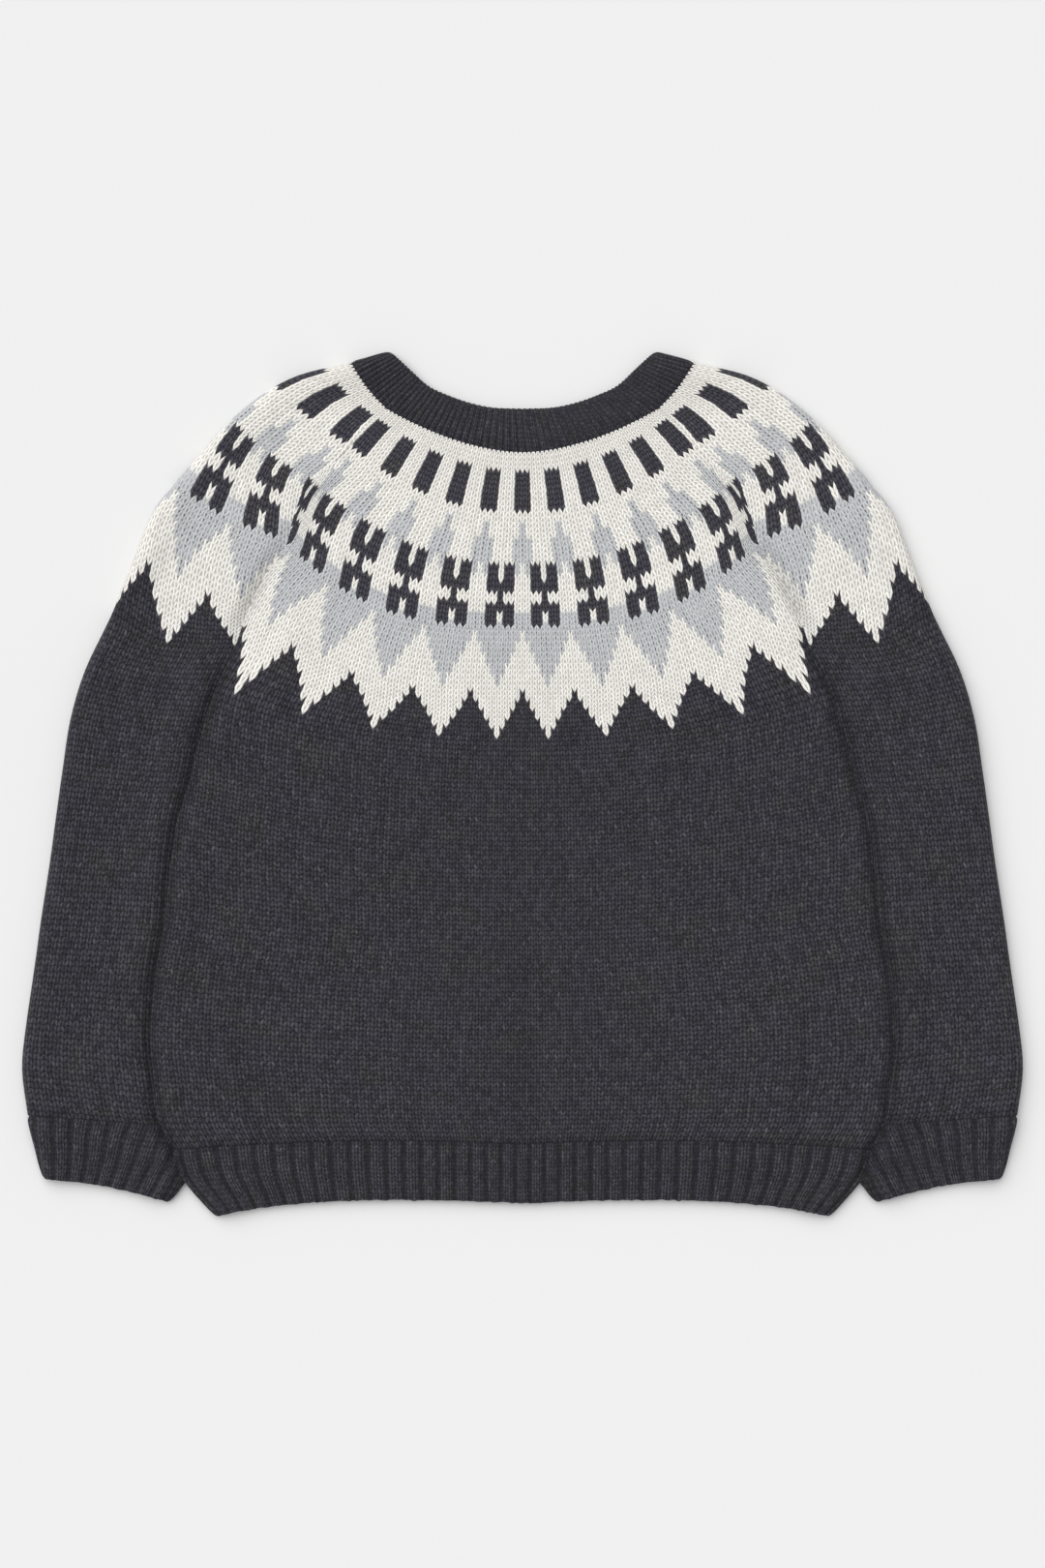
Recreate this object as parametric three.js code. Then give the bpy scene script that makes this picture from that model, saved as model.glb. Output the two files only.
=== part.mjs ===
// A child's yoked raglan jumper in wool knit, lying flat on its back with its front up.
// Millimetres. +Z is up from the surface, +Y points from the hem to the neck, and the origin
// is on the surface under the middle of the jumper. Each cut piece is one closed sheet of cloth.

import * as THREE from 'three';

// Driving sizes of the cloth.
const CLOTH = 2.2; // thickness of plain knit
const RIB_RISE = 0.8; // how far a rib's crest stands over its groove
const SEAM_GAP = 0.36; // space between two pieces that are sewn together
const LAID_HEIGHT = 5.8; // top of the front where it lies on the back
const FOLD_PUFF = 1.9; // how much higher the cloth stands beside a fold at a side or sleeve
const PUFF_WIDTH = 6; // how wide that rise stands at its full height
const PUFF_FADE = 9; // how far it then takes to fade
const FOLD_REACH = 5; // horizontal radius of a folded edge
const SLEEVE_CLEARANCE = 0.7; // space between the body's side and the sleeve that lies beside it
const SEAM_DIP = 0.8; // how deep the cloth sinks along the raglan seam
const SEAM_DIP_REACH = 6; // how far from the seam it sinks
const EDGE_ROUNDING = 0.5; // how much a hem, cuff or neck edge is rounded off
const ROUNDED_WIDTH = 2.2; // how wide that rounding is
const FLAT_TURN = 0.01; // the least turn in radians of an edge that isn't folded

// Ribs of the welts: two stitches raised, two sunk at hem and cuffs, one and one at the neck.
const HEM_RIBS = 40;
const CUFF_RIBS = 10;
const NECK_RIBS = 72;

// Sections across the body, from the neck seam down to the top of the hem welt. middleY is the
// height of the section on the centre line, edgeX and edgeY its end on the raglan seam or, from
// the underarm down, on the side fold. bow is the power with which it climbs to that end.
const BODY_SECTIONS = [
  { middleY: 154.4, edgeX: 63.2, edgeY: 174.6, bow: 1.8, lift: 0 },
  { middleY: 136.4, edgeX: 73.4, edgeY: 165.8, bow: 2.2, lift: 0 },
  { middleY: 119.0, edgeX: 86.0, edgeY: 151.4, bow: 2.2, lift: 0 },
  { middleY: 102.4, edgeX: 99.9, edgeY: 139.9, bow: 2.4, lift: 0 },
  { middleY: 86.2, edgeX: 106.0, edgeY: 126.7, bow: 2.7, lift: 0 },
  { middleY: 72.7, edgeX: 110.0, edgeY: 112.0, bow: 3.0, lift: 0 },
  { middleY: 58.3, edgeX: 119.6, edgeY: 98.6, bow: 3.0, lift: 0 },
  { middleY: 43.4, edgeX: 127.8, edgeY: 82.1, bow: 2.8, lift: 0 },
  { middleY: 32.0, edgeX: 133.2, edgeY: 65.9, bow: 2.5, lift: 0 },
  { middleY: 20.0, edgeX: 143.5, edgeY: 43.5, bow: 2.2, lift: 0 },
  { middleY: 3.0, edgeX: 150.3, edgeY: 22.0, bow: 2.0, lift: 0 },
  { middleY: -15.0, edgeX: 155.0, edgeY: 2.5, bow: 2.0, lift: 0 },
  { middleY: -34.0, edgeX: 160.5, edgeY: -16.0, bow: 2.0, lift: 0 },
  { middleY: -55.0, edgeX: 164.4, edgeY: -39.8, bow: 2.0, lift: 0 },
  { middleY: -78.0, edgeX: 166.8, edgeY: -65.0, bow: 2.0, lift: 0 },
  { middleY: -101.0, edgeX: 171.2, edgeY: -89.3, bow: 2.0, lift: 0 },
  { middleY: -127.0, edgeX: 173.5, edgeY: -118.6, bow: 2.0, lift: 0 },
  { middleY: -144.0, edgeX: 171.6, edgeY: -139.0, bow: 2.0, lift: 0.3 },
  { middleY: -157.5, edgeX: 169.4, edgeY: -156.0, bow: 2.0, lift: 1.0 },
  { middleY: -167.6, edgeX: 162.6, edgeY: -170.2, bow: 2.4, lift: 2.2 },
];
const UNDERARM = 8; // the row of that table where body and sleeve part
const TURNING_ROWS = 1.3; // how many rows their edges take from there to fold down
const ELBOW = 11; // the row down to which panels also have half rows

// Sections across a sleeve. bodyRow is the row of the table above where the section leaves the
// seam or runs beside the body, outerX and outerY its end on the sleeve's folded outline, and
// sag how far its middle hangs towards the cuff.
const SLEEVE_SECTIONS = [
  { bodyRow: 0, outerX: 79.9, outerY: 196.2, sag: 1.2 },
  { bodyRow: 1, outerX: 104.2, outerY: 190.4, sag: 1.5 },
  { bodyRow: 2, outerX: 122.0, outerY: 180.8, sag: 2.0 },
  { bodyRow: 3, outerX: 138.2, outerY: 167.2, sag: 2.5 },
  { bodyRow: 4, outerX: 151.8, outerY: 151.8, sag: 3.0 },
  { bodyRow: 5, outerX: 163.0, outerY: 138.6, sag: 3.5 },
  { bodyRow: 6, outerX: 173.2, outerY: 125.0, sag: 4.0 },
  { bodyRow: 7, outerX: 181.6, outerY: 103.5, sag: 4.0 },
  { bodyRow: 8, outerX: 193.3, outerY: 74.9, sag: 3.5 },
  { bodyRow: 9, outerX: 203.7, outerY: 52.9, sag: 2.5 },
  { bodyRow: 10, outerX: 210.5, outerY: 30.0, sag: 1.5 },
  { bodyRow: 11, outerX: 214.0, outerY: 7.5, sag: 1.0 },
  { bodyRow: 12, outerX: 216.9, outerY: -13.0, sag: 0.5 },
  { bodyRow: 13, outerX: 220.0, outerY: -36.0, sag: 0 },
  { bodyRow: 14, outerX: 224.0, outerY: -62.0, sag: 0 },
  { bodyRow: 15, outerX: 227.4, outerY: -86.5, sag: 0 },
  { bodyRow: 16, outerX: 231.3, outerY: -113.5, sag: 0 },
  { bodyRow: 17, outerX: 233.0, outerY: -133.0, sag: 0 },
  { bodyRow: 18.2, outerX: 230.4, outerY: -154.3, sag: 0 },
];

// Sections of the hem welt from the body down to its open edge, with the same columns.
const HEM_SECTIONS = [
  { middleY: -167.6, edgeX: 162.6, edgeY: -170.2, bow: 2.4, lift: 2.2 },
  { middleY: -181.5, edgeX: 157.3, edgeY: -184.1, bow: 3.5, lift: 1.8 },
  { middleY: -195.4, edgeX: 142.7, edgeY: -201.5, bow: 5.0, lift: 2.0 },
];

// Sections of a cuff welt from the sleeve's end to its open edge.
const CUFF_SECTIONS = [
  { innerX: 169.4, innerY: -159.8, outerX: 230.4, outerY: -154.3, sag: 0 },
  { innerX: 164.6, innerY: -170.4, outerX: 228.6, outerY: -161.8, sag: -0.6 },
  { innerX: 161.3, innerY: -179.0, outerX: 226.4, outerY: -170.8, sag: -1.2 },
  { innerX: 160.6, innerY: -187.0, outerX: 224.0, outerY: -178.6, sag: -1.6 },
  { innerX: 163.8, innerY: -194.0, outerX: 221.6, outerY: -184.0, sag: -1.8 },
];

// The neck opening's edge from the centre to the fold at the shoulder.
const NECK_EDGE = [
  { x: 0, y: 174.8 },
  { x: 14.4, y: 175.4 },
  { x: 26.6, y: 178.2 },
  { x: 36.5, y: 181.8 },
  { x: 44.6, y: 185.9 },
  { x: 52.0, y: 192.6 },
  { x: 57.8, y: 198.0 },
  { x: 62.2, y: 201.5 },
];

// Broad soft swells and hollows of the laid cloth, on both halves alike: the middle of each, the
// way it runs in degrees from +X, its half length and half width, and its height.
const SWELLS = [
  { x: 0, y: -88, turn: 0, long: 70, wide: 26, height: -0.5 },
  { x: 118, y: -60, turn: 75, long: 70, wide: 26, height: 0.7 },
  { x: 128, y: -128, turn: 10, long: 40, wide: 16, height: 0.6 },
  { x: 112, y: 62, turn: -58, long: 34, wide: 9, height: 0.8 },
  { x: 58, y: 60, turn: 8, long: 46, wide: 22, height: 0.5 },
  { x: 192, y: -20, turn: 80, long: 60, wide: 16, height: 0.9 },
  { x: 205, y: -132, turn: 5, long: 22, wide: 14, height: 0.9 },
  { x: 150, y: 118, turn: 40, long: 26, wide: 14, height: 0.7 },
];

// How many facets each stretch gets.
const FACETS = { body: 20, back: 10, sleeveTop: 9, sleeveUnder: 5, curl: 3, fold: 6, plain: 10 };

const SLATE = 0x36353a;
const KNIT = { roughness: 0.95, metalness: 0 };

// A value that changes smoothly from row to row of a table with the named column.
function columnCurve(table, column) {
  const last = table.length - 1;
  const points = table.map((row, i) => new THREE.Vector3(i, row[column], 0));
  const curve = new THREE.CatmullRomCurve3(points, false, 'catmullrom', 0.5);
  return (row) => curve.getPoint(Math.min(Math.max(row / last, 0), 1)).y;
}

// A row of a table at any place between its rows, each column smoothed on its own.
function smoothTable(table) {
  const columns = Object.keys(table[0]);
  const curves = columns.map((column) => columnCurve(table, column));
  return (row) => Object.fromEntries(columns.map((column, i) => [column, curves[i](row)]));
}

const bodySection = smoothTable(BODY_SECTIONS);
const sleeveSection = smoothTable(SLEEVE_SECTIONS);
const hemSection = smoothTable(HEM_SECTIONS);
const cuffSection = smoothTable(CUFF_SECTIONS);
const neckEdge = smoothTable(NECK_EDGE);

// A line drawn on the surface through points in order, met again by the distance along it.
function planLine(points) {
  const reach = [0];
  for (let i = 1; i < points.length; i++) {
    const step = Math.hypot(points[i].x - points[i - 1].x, points[i].y - points[i - 1].y);
    reach.push(reach[i - 1] + step);
  }
  const length = reach[reach.length - 1];
  const at = (distance) => {
    let i = 1;
    while (i < points.length - 1 && reach[i] < distance) i++;
    const part = (distance - reach[i - 1]) / (reach[i] - reach[i - 1]);
    return {
      x: points[i - 1].x + part * (points[i].x - points[i - 1].x),
      y: points[i - 1].y + part * (points[i].y - points[i - 1].y),
    };
  };
  return { length, at };
}

// Points from 0 to 1 in equal steps, both ends included.
const steps = (count) => Array.from({ length: count + 1 }, (_, i) => i / count);

// Half of a section across the body or hem welt, from the centre line to its end.
function halfSection({ middleY, edgeX, edgeY, bow, lift }) {
  return steps(40).map((t) => ({
    x: edgeX * t,
    y: middleY + (edgeY - middleY) * t ** bow + lift * Math.sin(Math.PI * t) * (1 - t / 3),
  }));
}

// The whole of that section, from the left end to the right end, with the centre at half way.
function wholeSection(section) {
  const right = halfSection(section);
  const left = right.slice(1).map(({ x, y }) => ({ x: -x, y }));
  return planLine([...left.reverse(), ...right]);
}

// A section across the right sleeve or cuff, from its inner edge to its folded outline.
function sleeveLine({ innerX, innerY, outerX, outerY, sag }) {
  const width = Math.hypot(outerX - innerX, outerY - innerY);
  const across = { x: (outerX - innerX) / width, y: (outerY - innerY) / width };
  return planLine(
    steps(20).map((t) => {
      const hang = sag * Math.sin(Math.PI * t);
      return {
        x: innerX + across.x * width * t + across.y * hang,
        y: innerY + across.y * width * t - across.x * hang,
      };
    }),
  );
}

// The inner end of a sleeve section lies on the raglan seam, or beside the body below it.
function sleeveEnds(row) {
  const section = sleeveSection(row);
  const body = bodySection(section.bodyRow);
  const away = SLEEVE_CLEARANCE * turnAt(section.bodyRow);
  return { ...section, innerX: body.edgeX + away, innerY: body.edgeY };
}

// Height that the swells give the top of the cloth at a place.
function swellAt(x, y) {
  let height = 0;
  for (const swell of SWELLS) {
    const turn = THREE.MathUtils.degToRad(swell.turn);
    const away = { x: Math.abs(x) - swell.x, y: y - swell.y };
    const along = away.x * Math.cos(turn) + away.y * Math.sin(turn);
    const beside = away.y * Math.cos(turn) - away.x * Math.sin(turn);
    height += swell.height * Math.exp(-((along / swell.long) ** 2) - (beside / swell.wide) ** 2);
  }
  return height;
}

// How far round a piece's inner edge has turned down at a row: none above the underarm.
function turnAt(bodyRow) {
  return THREE.MathUtils.smoothstep(bodyRow, UNDERARM, UNDERARM + TURNING_ROWS);
}

// How deep the raglan seam lies at a row: nothing at the neck, deepest above the underarm.
function dipAt(bodyRow) {
  return SEAM_DIP * THREE.MathUtils.smoothstep(bodyRow, 1, UNDERARM - 2);
}

// The top of the cloth at a place near some edges. Each edge is so far away, is folded so far
// round, and has a seam as deep as dip where it isn't.
function topAt(place, edges) {
  let top = LAID_HEIGHT + swellAt(place.x, place.y);
  for (const { away, folded, dip } of edges) {
    top += FOLD_PUFF * folded * Math.exp(-((Math.max(0, away - PUFF_WIDTH) / PUFF_FADE) ** 2));
    top -= dip * (1 - folded) * Math.exp(-((away / SEAM_DIP_REACH) ** 2));
  }
  return top;
}

// One place on a path round the cloth: how far along the section, how high, and the direction
// that points out of the cloth there.
const station = (s, z, outS, outZ) => {
  const size = Math.hypot(outS, outZ);
  return { s, z, outS: outS / size, outZ: outZ / size };
};

// A rounded edge that turns down from the top, or up from the underside, as far as it is folded.
// side is +1 where the section ends and -1 where it starts, and facing +1 for a top layer.
function roundedEdge({ edge, side, facing, level, drop, folded }, facets) {
  const turn = Math.max((folded * Math.PI) / 2, FLAT_TURN);
  const start = edge - side * FOLD_REACH;
  return steps(facets).map((t) => {
    const angle = t * turn;
    const s = start + (side * FOLD_REACH * Math.sin(angle)) / Math.sin(turn);
    const z = level - facing * drop * (1 - Math.cos(angle));
    const outS = side * drop * Math.sin(angle) * Math.sin(turn);
    return station(s, z, outS, facing * FOLD_REACH * Math.cos(angle));
  });
}

// The way across a body panel, from its left edge to its right edge.
function panelPath({ line, facing, folded, dip }, facets, bump) {
  const first = SEAM_GAP / 2;
  const last = line.length - first;
  const top = (s) => topAt(line.at(s), [{ away: Math.min(s, line.length - s), folded, dip }]);
  const level = (s) => (facing > 0 ? top(s) : 0);
  const rim = (side) => {
    const edge = side > 0 ? last : first;
    const start = edge - side * FOLD_REACH;
    const drop = top(start) / 2 - SEAM_GAP / 2;
    return roundedEdge({ edge, side, facing, level: level(start), drop, folded }, FACETS.curl);
  };
  const inside = steps(facets).slice(1, -1).map((t) => {
    const s = first + FOLD_REACH + t * (last - first - 2 * FOLD_REACH);
    return station(s, level(s) + bump(t), 0, facing);
  });
  return [...rim(-1).reverse(), ...inside, ...rim(1)];
}

// A fold right round from the top to the underside, or back up where side is -1.
function fullFold(middle, side, half) {
  return steps(FACETS.fold).map((t) => {
    const angle = t * Math.PI;
    const s = middle + side * FOLD_REACH * Math.sin(angle);
    const z = half + side * half * Math.cos(angle);
    return station(s, z, side * half * Math.sin(angle), side * FOLD_REACH * Math.cos(angle));
  });
}

// The way round a sleeve or cuff: out over the top, round the folded outline, back underneath.
function tubePath({ line, folded, dip }, facets, bump) {
  const edge = SEAM_GAP / 2;
  const first = edge + FOLD_REACH;
  const last = line.length - FOLD_REACH;
  const top = (s) =>
    topAt(line.at(s), [
      { away: s, folded, dip },
      { away: line.length - s, folded: 1, dip: 0 },
    ]);
  const drop = top(first) / 2 - SEAM_GAP / 2;
  const rim = (facing, level) =>
    roundedEdge({ edge, side: -1, facing, level, drop, folded }, FACETS.curl);
  const over = steps(facets.top).slice(1, -1).map((t) => {
    const s = first + t * (last - first);
    return station(s, top(s) + bump(t), 0, 1);
  });
  const under = steps(facets.under).slice(1, -1).map((t) => station(last - t * (last - first), 0, 0, -1));
  const upper = [...rim(1, top(first)).reverse(), ...over];
  return [...upper, ...fullFold(last, 1, top(last) / 2), ...under, ...rim(-1, 0)];
}

// Points in space for a path over a section, sunk into the cloth by depth.
function placePath(path, line, depth) {
  return path.map(({ s, z, outS, outZ }) => {
    const { x, y } = line.at(s - outS * depth);
    return new THREE.Vector3(x, y, z - outZ * depth);
  });
}

// Fills the strip between two rows of points. Rows with unequal numbers of points are joined
// along the shorter diagonal each time.
function zipRows(a, b, triangles) {
  const even = a.length === b.length;
  let i = 0;
  let j = 0;
  while (i < a.length - 1 || j < b.length - 1) {
    const alongA = i < a.length - 1 ? a[i + 1].distanceTo(b[j]) : Infinity;
    const alongB = j < b.length - 1 ? b[j + 1].distanceTo(a[i]) : Infinity;
    if (even ? i === j : alongA <= alongB) {
      triangles.push(a[i], b[j], a[i + 1]);
      i++;
    } else {
      triangles.push(a[i], b[j], b[j + 1]);
      j++;
    }
  }
}

// A closed sheet of cloth from rows of outer points and rows of inner points. A ring is closed
// on itself along its rows, and any other sheet has its two side edges filled as well.
function clothSheet(name, outer, inner, { ring = false, mirrored = false } = {}) {
  const triangles = [];
  for (let r = 1; r < outer.length; r++) zipRows(outer[r - 1], outer[r], triangles);
  for (let r = 1; r < inner.length; r++) zipRows(inner[r], inner[r - 1], triangles);
  zipRows(inner[0], outer[0], triangles);
  zipRows(outer[outer.length - 1], inner[inner.length - 1], triangles);
  if (!ring) {
    const side = (rows, pick) => rows.map((row) => (pick < 0 ? row[row.length - 1] : row[0]));
    zipRows(side(outer, 0), side(inner, 0), triangles);
    zipRows(side(inner, -1), side(outer, -1), triangles);
  }
  const positions = triangles.flatMap(({ x, y, z }) => [mirrored ? -x : x, y, z]);
  const geometry = new THREE.BufferGeometry();
  geometry.setAttribute('position', new THREE.Float32BufferAttribute(positions, 3));
  return facingOut(name, geometry);
}

// The mesh of a closed sheet, with its faces turned to point out of the cloth.
function facingOut(name, geometry) {
  const position = geometry.getAttribute('position');
  const corner = [new THREE.Vector3(), new THREE.Vector3(), new THREE.Vector3()];
  let volume = 0;
  for (let i = 0; i < position.count; i += 3) {
    corner.forEach((point, k) => point.fromBufferAttribute(position, i + k));
    volume += corner[0].dot(corner[1].clone().cross(corner[2]));
  }
  if (volume < 0) {
    for (let i = 0; i < position.count; i += 3) {
      const swap = new THREE.Vector3().fromBufferAttribute(position, i + 1);
      const other = new THREE.Vector3().fromBufferAttribute(position, i + 2);
      position.setXYZ(i + 1, other.x, other.y, other.z);
      position.setXYZ(i + 2, swap.x, swap.y, swap.z);
    }
  }
  geometry.computeVertexNormals();
  const material = new THREE.MeshStandardMaterial({ color: SLATE, ...KNIT });
  const mesh = new THREE.Mesh(geometry, material);
  mesh.name = name;
  return mesh;
}

const plainKnit = () => 0;

const distance = (a, b) => Math.hypot(a.x - b.x, a.y - b.y);

// Rows of a panel: each row of its table, the half rows down to the elbow, and half a seam gap
// left at each end, where one row spans so many millimetres.
function panelRows(last, firstSpan, lastSpan) {
  const rows = [];
  for (let row = 0.5; row <= last - 0.5; row += row < ELBOW ? 0.5 : 1) rows.push(row);
  return [SEAM_GAP / 2 / firstSpan, ...rows, last - SEAM_GAP / 2 / lastSpan];
}

// How many millimetres the body's section moves down the centre line from one row to the next.
const bodySpan = (row) => bodySection(row).middleY - bodySection(row + 1).middleY;

// Front or back: facing is +1 for the front, on top, and -1 for the back, underneath.
function bodyPanel(name, facing, facets) {
  const last = BODY_SECTIONS.length - 1;
  const rows = panelRows(last, bodySpan(0), bodySpan(last - 1));
  const layer = (count, depth) =>
    rows.map((row) => {
      const line = wholeSection(bodySection(row));
      const path = { line, facing, folded: turnAt(row), dip: dipAt(row) };
      return placePath(panelPath(path, count, plainKnit), line, depth);
    });
  return clothSheet(name, layer(facets, 0), layer(FACETS.plain, CLOTH));
}

// How many millimetres a sleeve's section moves along its outline from one row to the next.
function sleeveSpan(row) {
  const ends = [sleeveSection(row), sleeveSection(row + 1)];
  return distance(...ends.map(({ outerX, outerY }) => ({ x: outerX, y: outerY })));
}

// The facets round a sleeve or cuff, with that many over its top.
const roundFacets = (top) => ({ top, under: FACETS.sleeveUnder });

// A sleeve is one panel wrapped round the arm, its seam under the arm facing the body.
function sleeve(name, mirrored) {
  const last = SLEEVE_SECTIONS.length - 1;
  const rows = panelRows(last, sleeveSpan(0), sleeveSpan(last - 1));
  const layer = (top, depth) =>
    rows.map((row) => {
      const ends = sleeveEnds(row);
      const line = sleeveLine(ends);
      const path = { line, folded: turnAt(ends.bodyRow), dip: dipAt(ends.bodyRow) };
      return placePath(tubePath(path, roundFacets(top), plainKnit), line, depth);
    });
  const outer = layer(FACETS.sleeveTop, 0);
  return clothSheet(name, outer, layer(FACETS.sleeveUnder, CLOTH), { mirrored });
}

// Height of a welt's surface across its ribs: four facets to each rib, two of them raised.
const RIB_FACETS = 4;
function ribWave(ribs) {
  return (t) => {
    const phase = (t * ribs) % 1;
    return phase > 0.5 / RIB_FACETS && phase < 2.5 / RIB_FACETS ? RIB_RISE : 0;
  };
}

// Rows of a welt as shares of its length, with rounded ends that sink a little.
const weltRows = (length) => [0, ROUNDED_WIDTH / length, 1 - ROUNDED_WIDTH / length, 1];
const weltSink = (share) => (share === 0 || share === 1 ? EDGE_ROUNDING : 0);

// The front half of the hem welt has ribs on top, and the back half rests flat.
function hemWelt(name, facing) {
  const last = HEM_SECTIONS.length - 1;
  const length = HEM_SECTIONS[0].middleY - HEM_SECTIONS[last].middleY;
  const gap = SEAM_GAP / 2 / length;
  const wave = ribWave(HEM_RIBS);
  const rib = (share) => (t) => wave(t) - weltSink(share);
  const layer = (shares, facets, depth, bumpAt) =>
    shares.map((share) => {
      const line = wholeSection(hemSection(last * (gap + share * (1 - gap))));
      const path = panelPath({ line, facing, folded: 1, dip: 0 }, facets, bumpAt(share));
      return placePath(path, line, depth);
    });
  const plain = () => plainKnit;
  const inner = layer([0, 1], FACETS.plain, CLOTH, plain);
  if (facing < 0) return clothSheet(name, layer([0, 1], FACETS.back, 0, plain), inner);
  return clothSheet(name, layer(weltRows(length), HEM_RIBS * RIB_FACETS, 0, rib), inner);
}

// A cuff goes round like the sleeve, with ribs over its top.
function cuff(name, mirrored) {
  const last = CUFF_SECTIONS.length - 1;
  const length = CUFF_SECTIONS[0].outerY - CUFF_SECTIONS[last].outerY;
  const gap = SEAM_GAP / 2 / length;
  const wave = ribWave(CUFF_RIBS);
  const rib = (share) => (t) => wave(t) - weltSink(share);
  const layer = (shares, top, depth, bumpAt) =>
    shares.map((share) => {
      const line = sleeveLine(cuffSection(last * (gap + share * (1 - gap))));
      const path = tubePath({ line, folded: 1, dip: 0 }, roundFacets(top), bumpAt(share));
      return placePath(path, line, depth);
    });
  const bends = steps(last).slice(1, -1);
  const [open, rounded, unrounded, end] = weltRows(length);
  const outer = layer([open, rounded, ...bends, unrounded, end], CUFF_RIBS * RIB_FACETS, 0, rib);
  const inner = layer([open, ...bends, end], FACETS.sleeveUnder, CLOTH, () => plainKnit);
  return clothSheet(name, outer, inner, { mirrored });
}

// Half of the seam between neckband and yoke: along the front, then along the sleeve's top.
function neckSeamHalf() {
  const front = halfSection(bodySection(0));
  const top = sleeveLine(sleeveEnds(0));
  return planLine([...front, ...steps(10).slice(1).map((t) => top.at(t * top.length))]);
}

// A line round half of the neckband, at a share of its width from the seam to the open edge.
function neckLine(share) {
  const seam = neckSeamHalf();
  const right = steps(60).map((t) => {
    const low = seam.at(t * seam.length);
    const high = neckEdge(t * (NECK_EDGE.length - 1));
    const part = Math.max(share, SEAM_GAP / 2 / distance(low, high));
    return { x: low.x + part * (high.x - low.x), y: low.y + part * (high.y - low.y) };
  });
  const left = right.slice(1).map(({ x, y }) => ({ x: -x, y }));
  return planLine([...left.reverse(), ...right]);
}

// The way round the neckband: up round the left fold, over the front, down round the right fold
// and back underneath. bump gives the height of its top at each facet across.
function neckPath(line, facets, bump) {
  const first = FOLD_REACH;
  const last = line.length - FOLD_REACH;
  const top = (s) => topAt(line.at(s), [{ away: Math.min(s, line.length - s), folded: 1, dip: 0 }]);
  const along = (count) => steps(count).slice(1, -1).map((t) => first + t * (last - first));
  const over = along(facets).map((s, i) => station(s, top(s) + bump(i), 0, 1));
  const under = along(FACETS.plain).reverse().map((s) => station(s, 0, 0, -1));
  const half = top(first) / 2;
  const round = [...fullFold(first, -1, half), ...over, ...fullFold(last, 1, half), ...under];
  return [...round, round[0]];
}

// The neckband is one ring of fine ribs, folded flat: every other facet across its top is raised.
function neckband() {
  const width = NECK_EDGE[0].y - BODY_SECTIONS[0].middleY;
  const layer = (shares, facets, depth, bumpAt) =>
    shares.map((share) => {
      const line = neckLine(share);
      return placePath(neckPath(line, facets, bumpAt(share)), line, depth);
    });
  const rib = (share) => (i) => (i % 2 === 0 ? RIB_RISE : 0) - weltSink(share);
  const outer = layer(weltRows(width), NECK_RIBS * 2, 0, rib);
  const inner = layer([0, 1], FACETS.plain, CLOTH, () => plainKnit);
  return clothSheet('neckband', outer, inner, { ring: true });
}

const jumper = new THREE.Group();
jumper.add(
  bodyPanel('front', 1, FACETS.body),
  bodyPanel('back', -1, FACETS.back),
  sleeve('sleeve_right', false),
  sleeve('sleeve_left', true),
  neckband(),
  hemWelt('hem_front', 1),
  hemWelt('hem_back', -1),
  cuff('cuff_right', false),
  cuff('cuff_left', true),
);

export default jumper;
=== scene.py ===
"""A child's yoked raglan jumper in wool knit, lying flat with its front up.

Each cut piece is a thin shell of cloth over the solid that it replaces, in the solids' frame. The
tables give millimetres, as the solids' own do, and the meshes are in metres. Every shell carries a
map of its knit: across it the pattern's repeats or the ribs' wales, and down it the courses."""

import functools
import math

import bmesh
import bpy
import numpy as np
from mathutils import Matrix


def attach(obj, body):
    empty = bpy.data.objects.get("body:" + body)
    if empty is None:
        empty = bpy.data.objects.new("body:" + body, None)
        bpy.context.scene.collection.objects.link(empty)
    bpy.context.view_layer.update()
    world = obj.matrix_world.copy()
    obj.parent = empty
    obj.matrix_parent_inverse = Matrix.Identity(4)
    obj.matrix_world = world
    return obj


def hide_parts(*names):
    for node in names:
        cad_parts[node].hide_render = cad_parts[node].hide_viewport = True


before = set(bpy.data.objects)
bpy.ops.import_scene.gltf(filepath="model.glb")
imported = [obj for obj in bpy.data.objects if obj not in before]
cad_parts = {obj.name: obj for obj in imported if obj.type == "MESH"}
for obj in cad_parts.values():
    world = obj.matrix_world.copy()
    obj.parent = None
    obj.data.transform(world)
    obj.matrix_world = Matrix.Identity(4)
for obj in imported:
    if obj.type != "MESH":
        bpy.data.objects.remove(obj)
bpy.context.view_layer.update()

bl_info = {
    "name": "Fair Isle Jumper",
    "version": (1, 0, 0),
    "blender": (4, 5, 0),
    "location": "View3D > Sidebar > Jumper",
    "description": "Builds a child's fair isle jumper that lies flat",
    "category": "Add Mesh",
}

MM = 0.001
KNIT_MAP = "Knit"
PAINTED_SHADE_MAP = "PaintedShade"  # painted shade: how much darker the cloth is painted in its creases

FLOOR_DROP = 0.0004  # how far the floor lies below the cloth
LAMP_SPREAD, LAMP_TURN = 80, (-28, -22, 0)  # in degrees: the light comes from the top left

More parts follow.
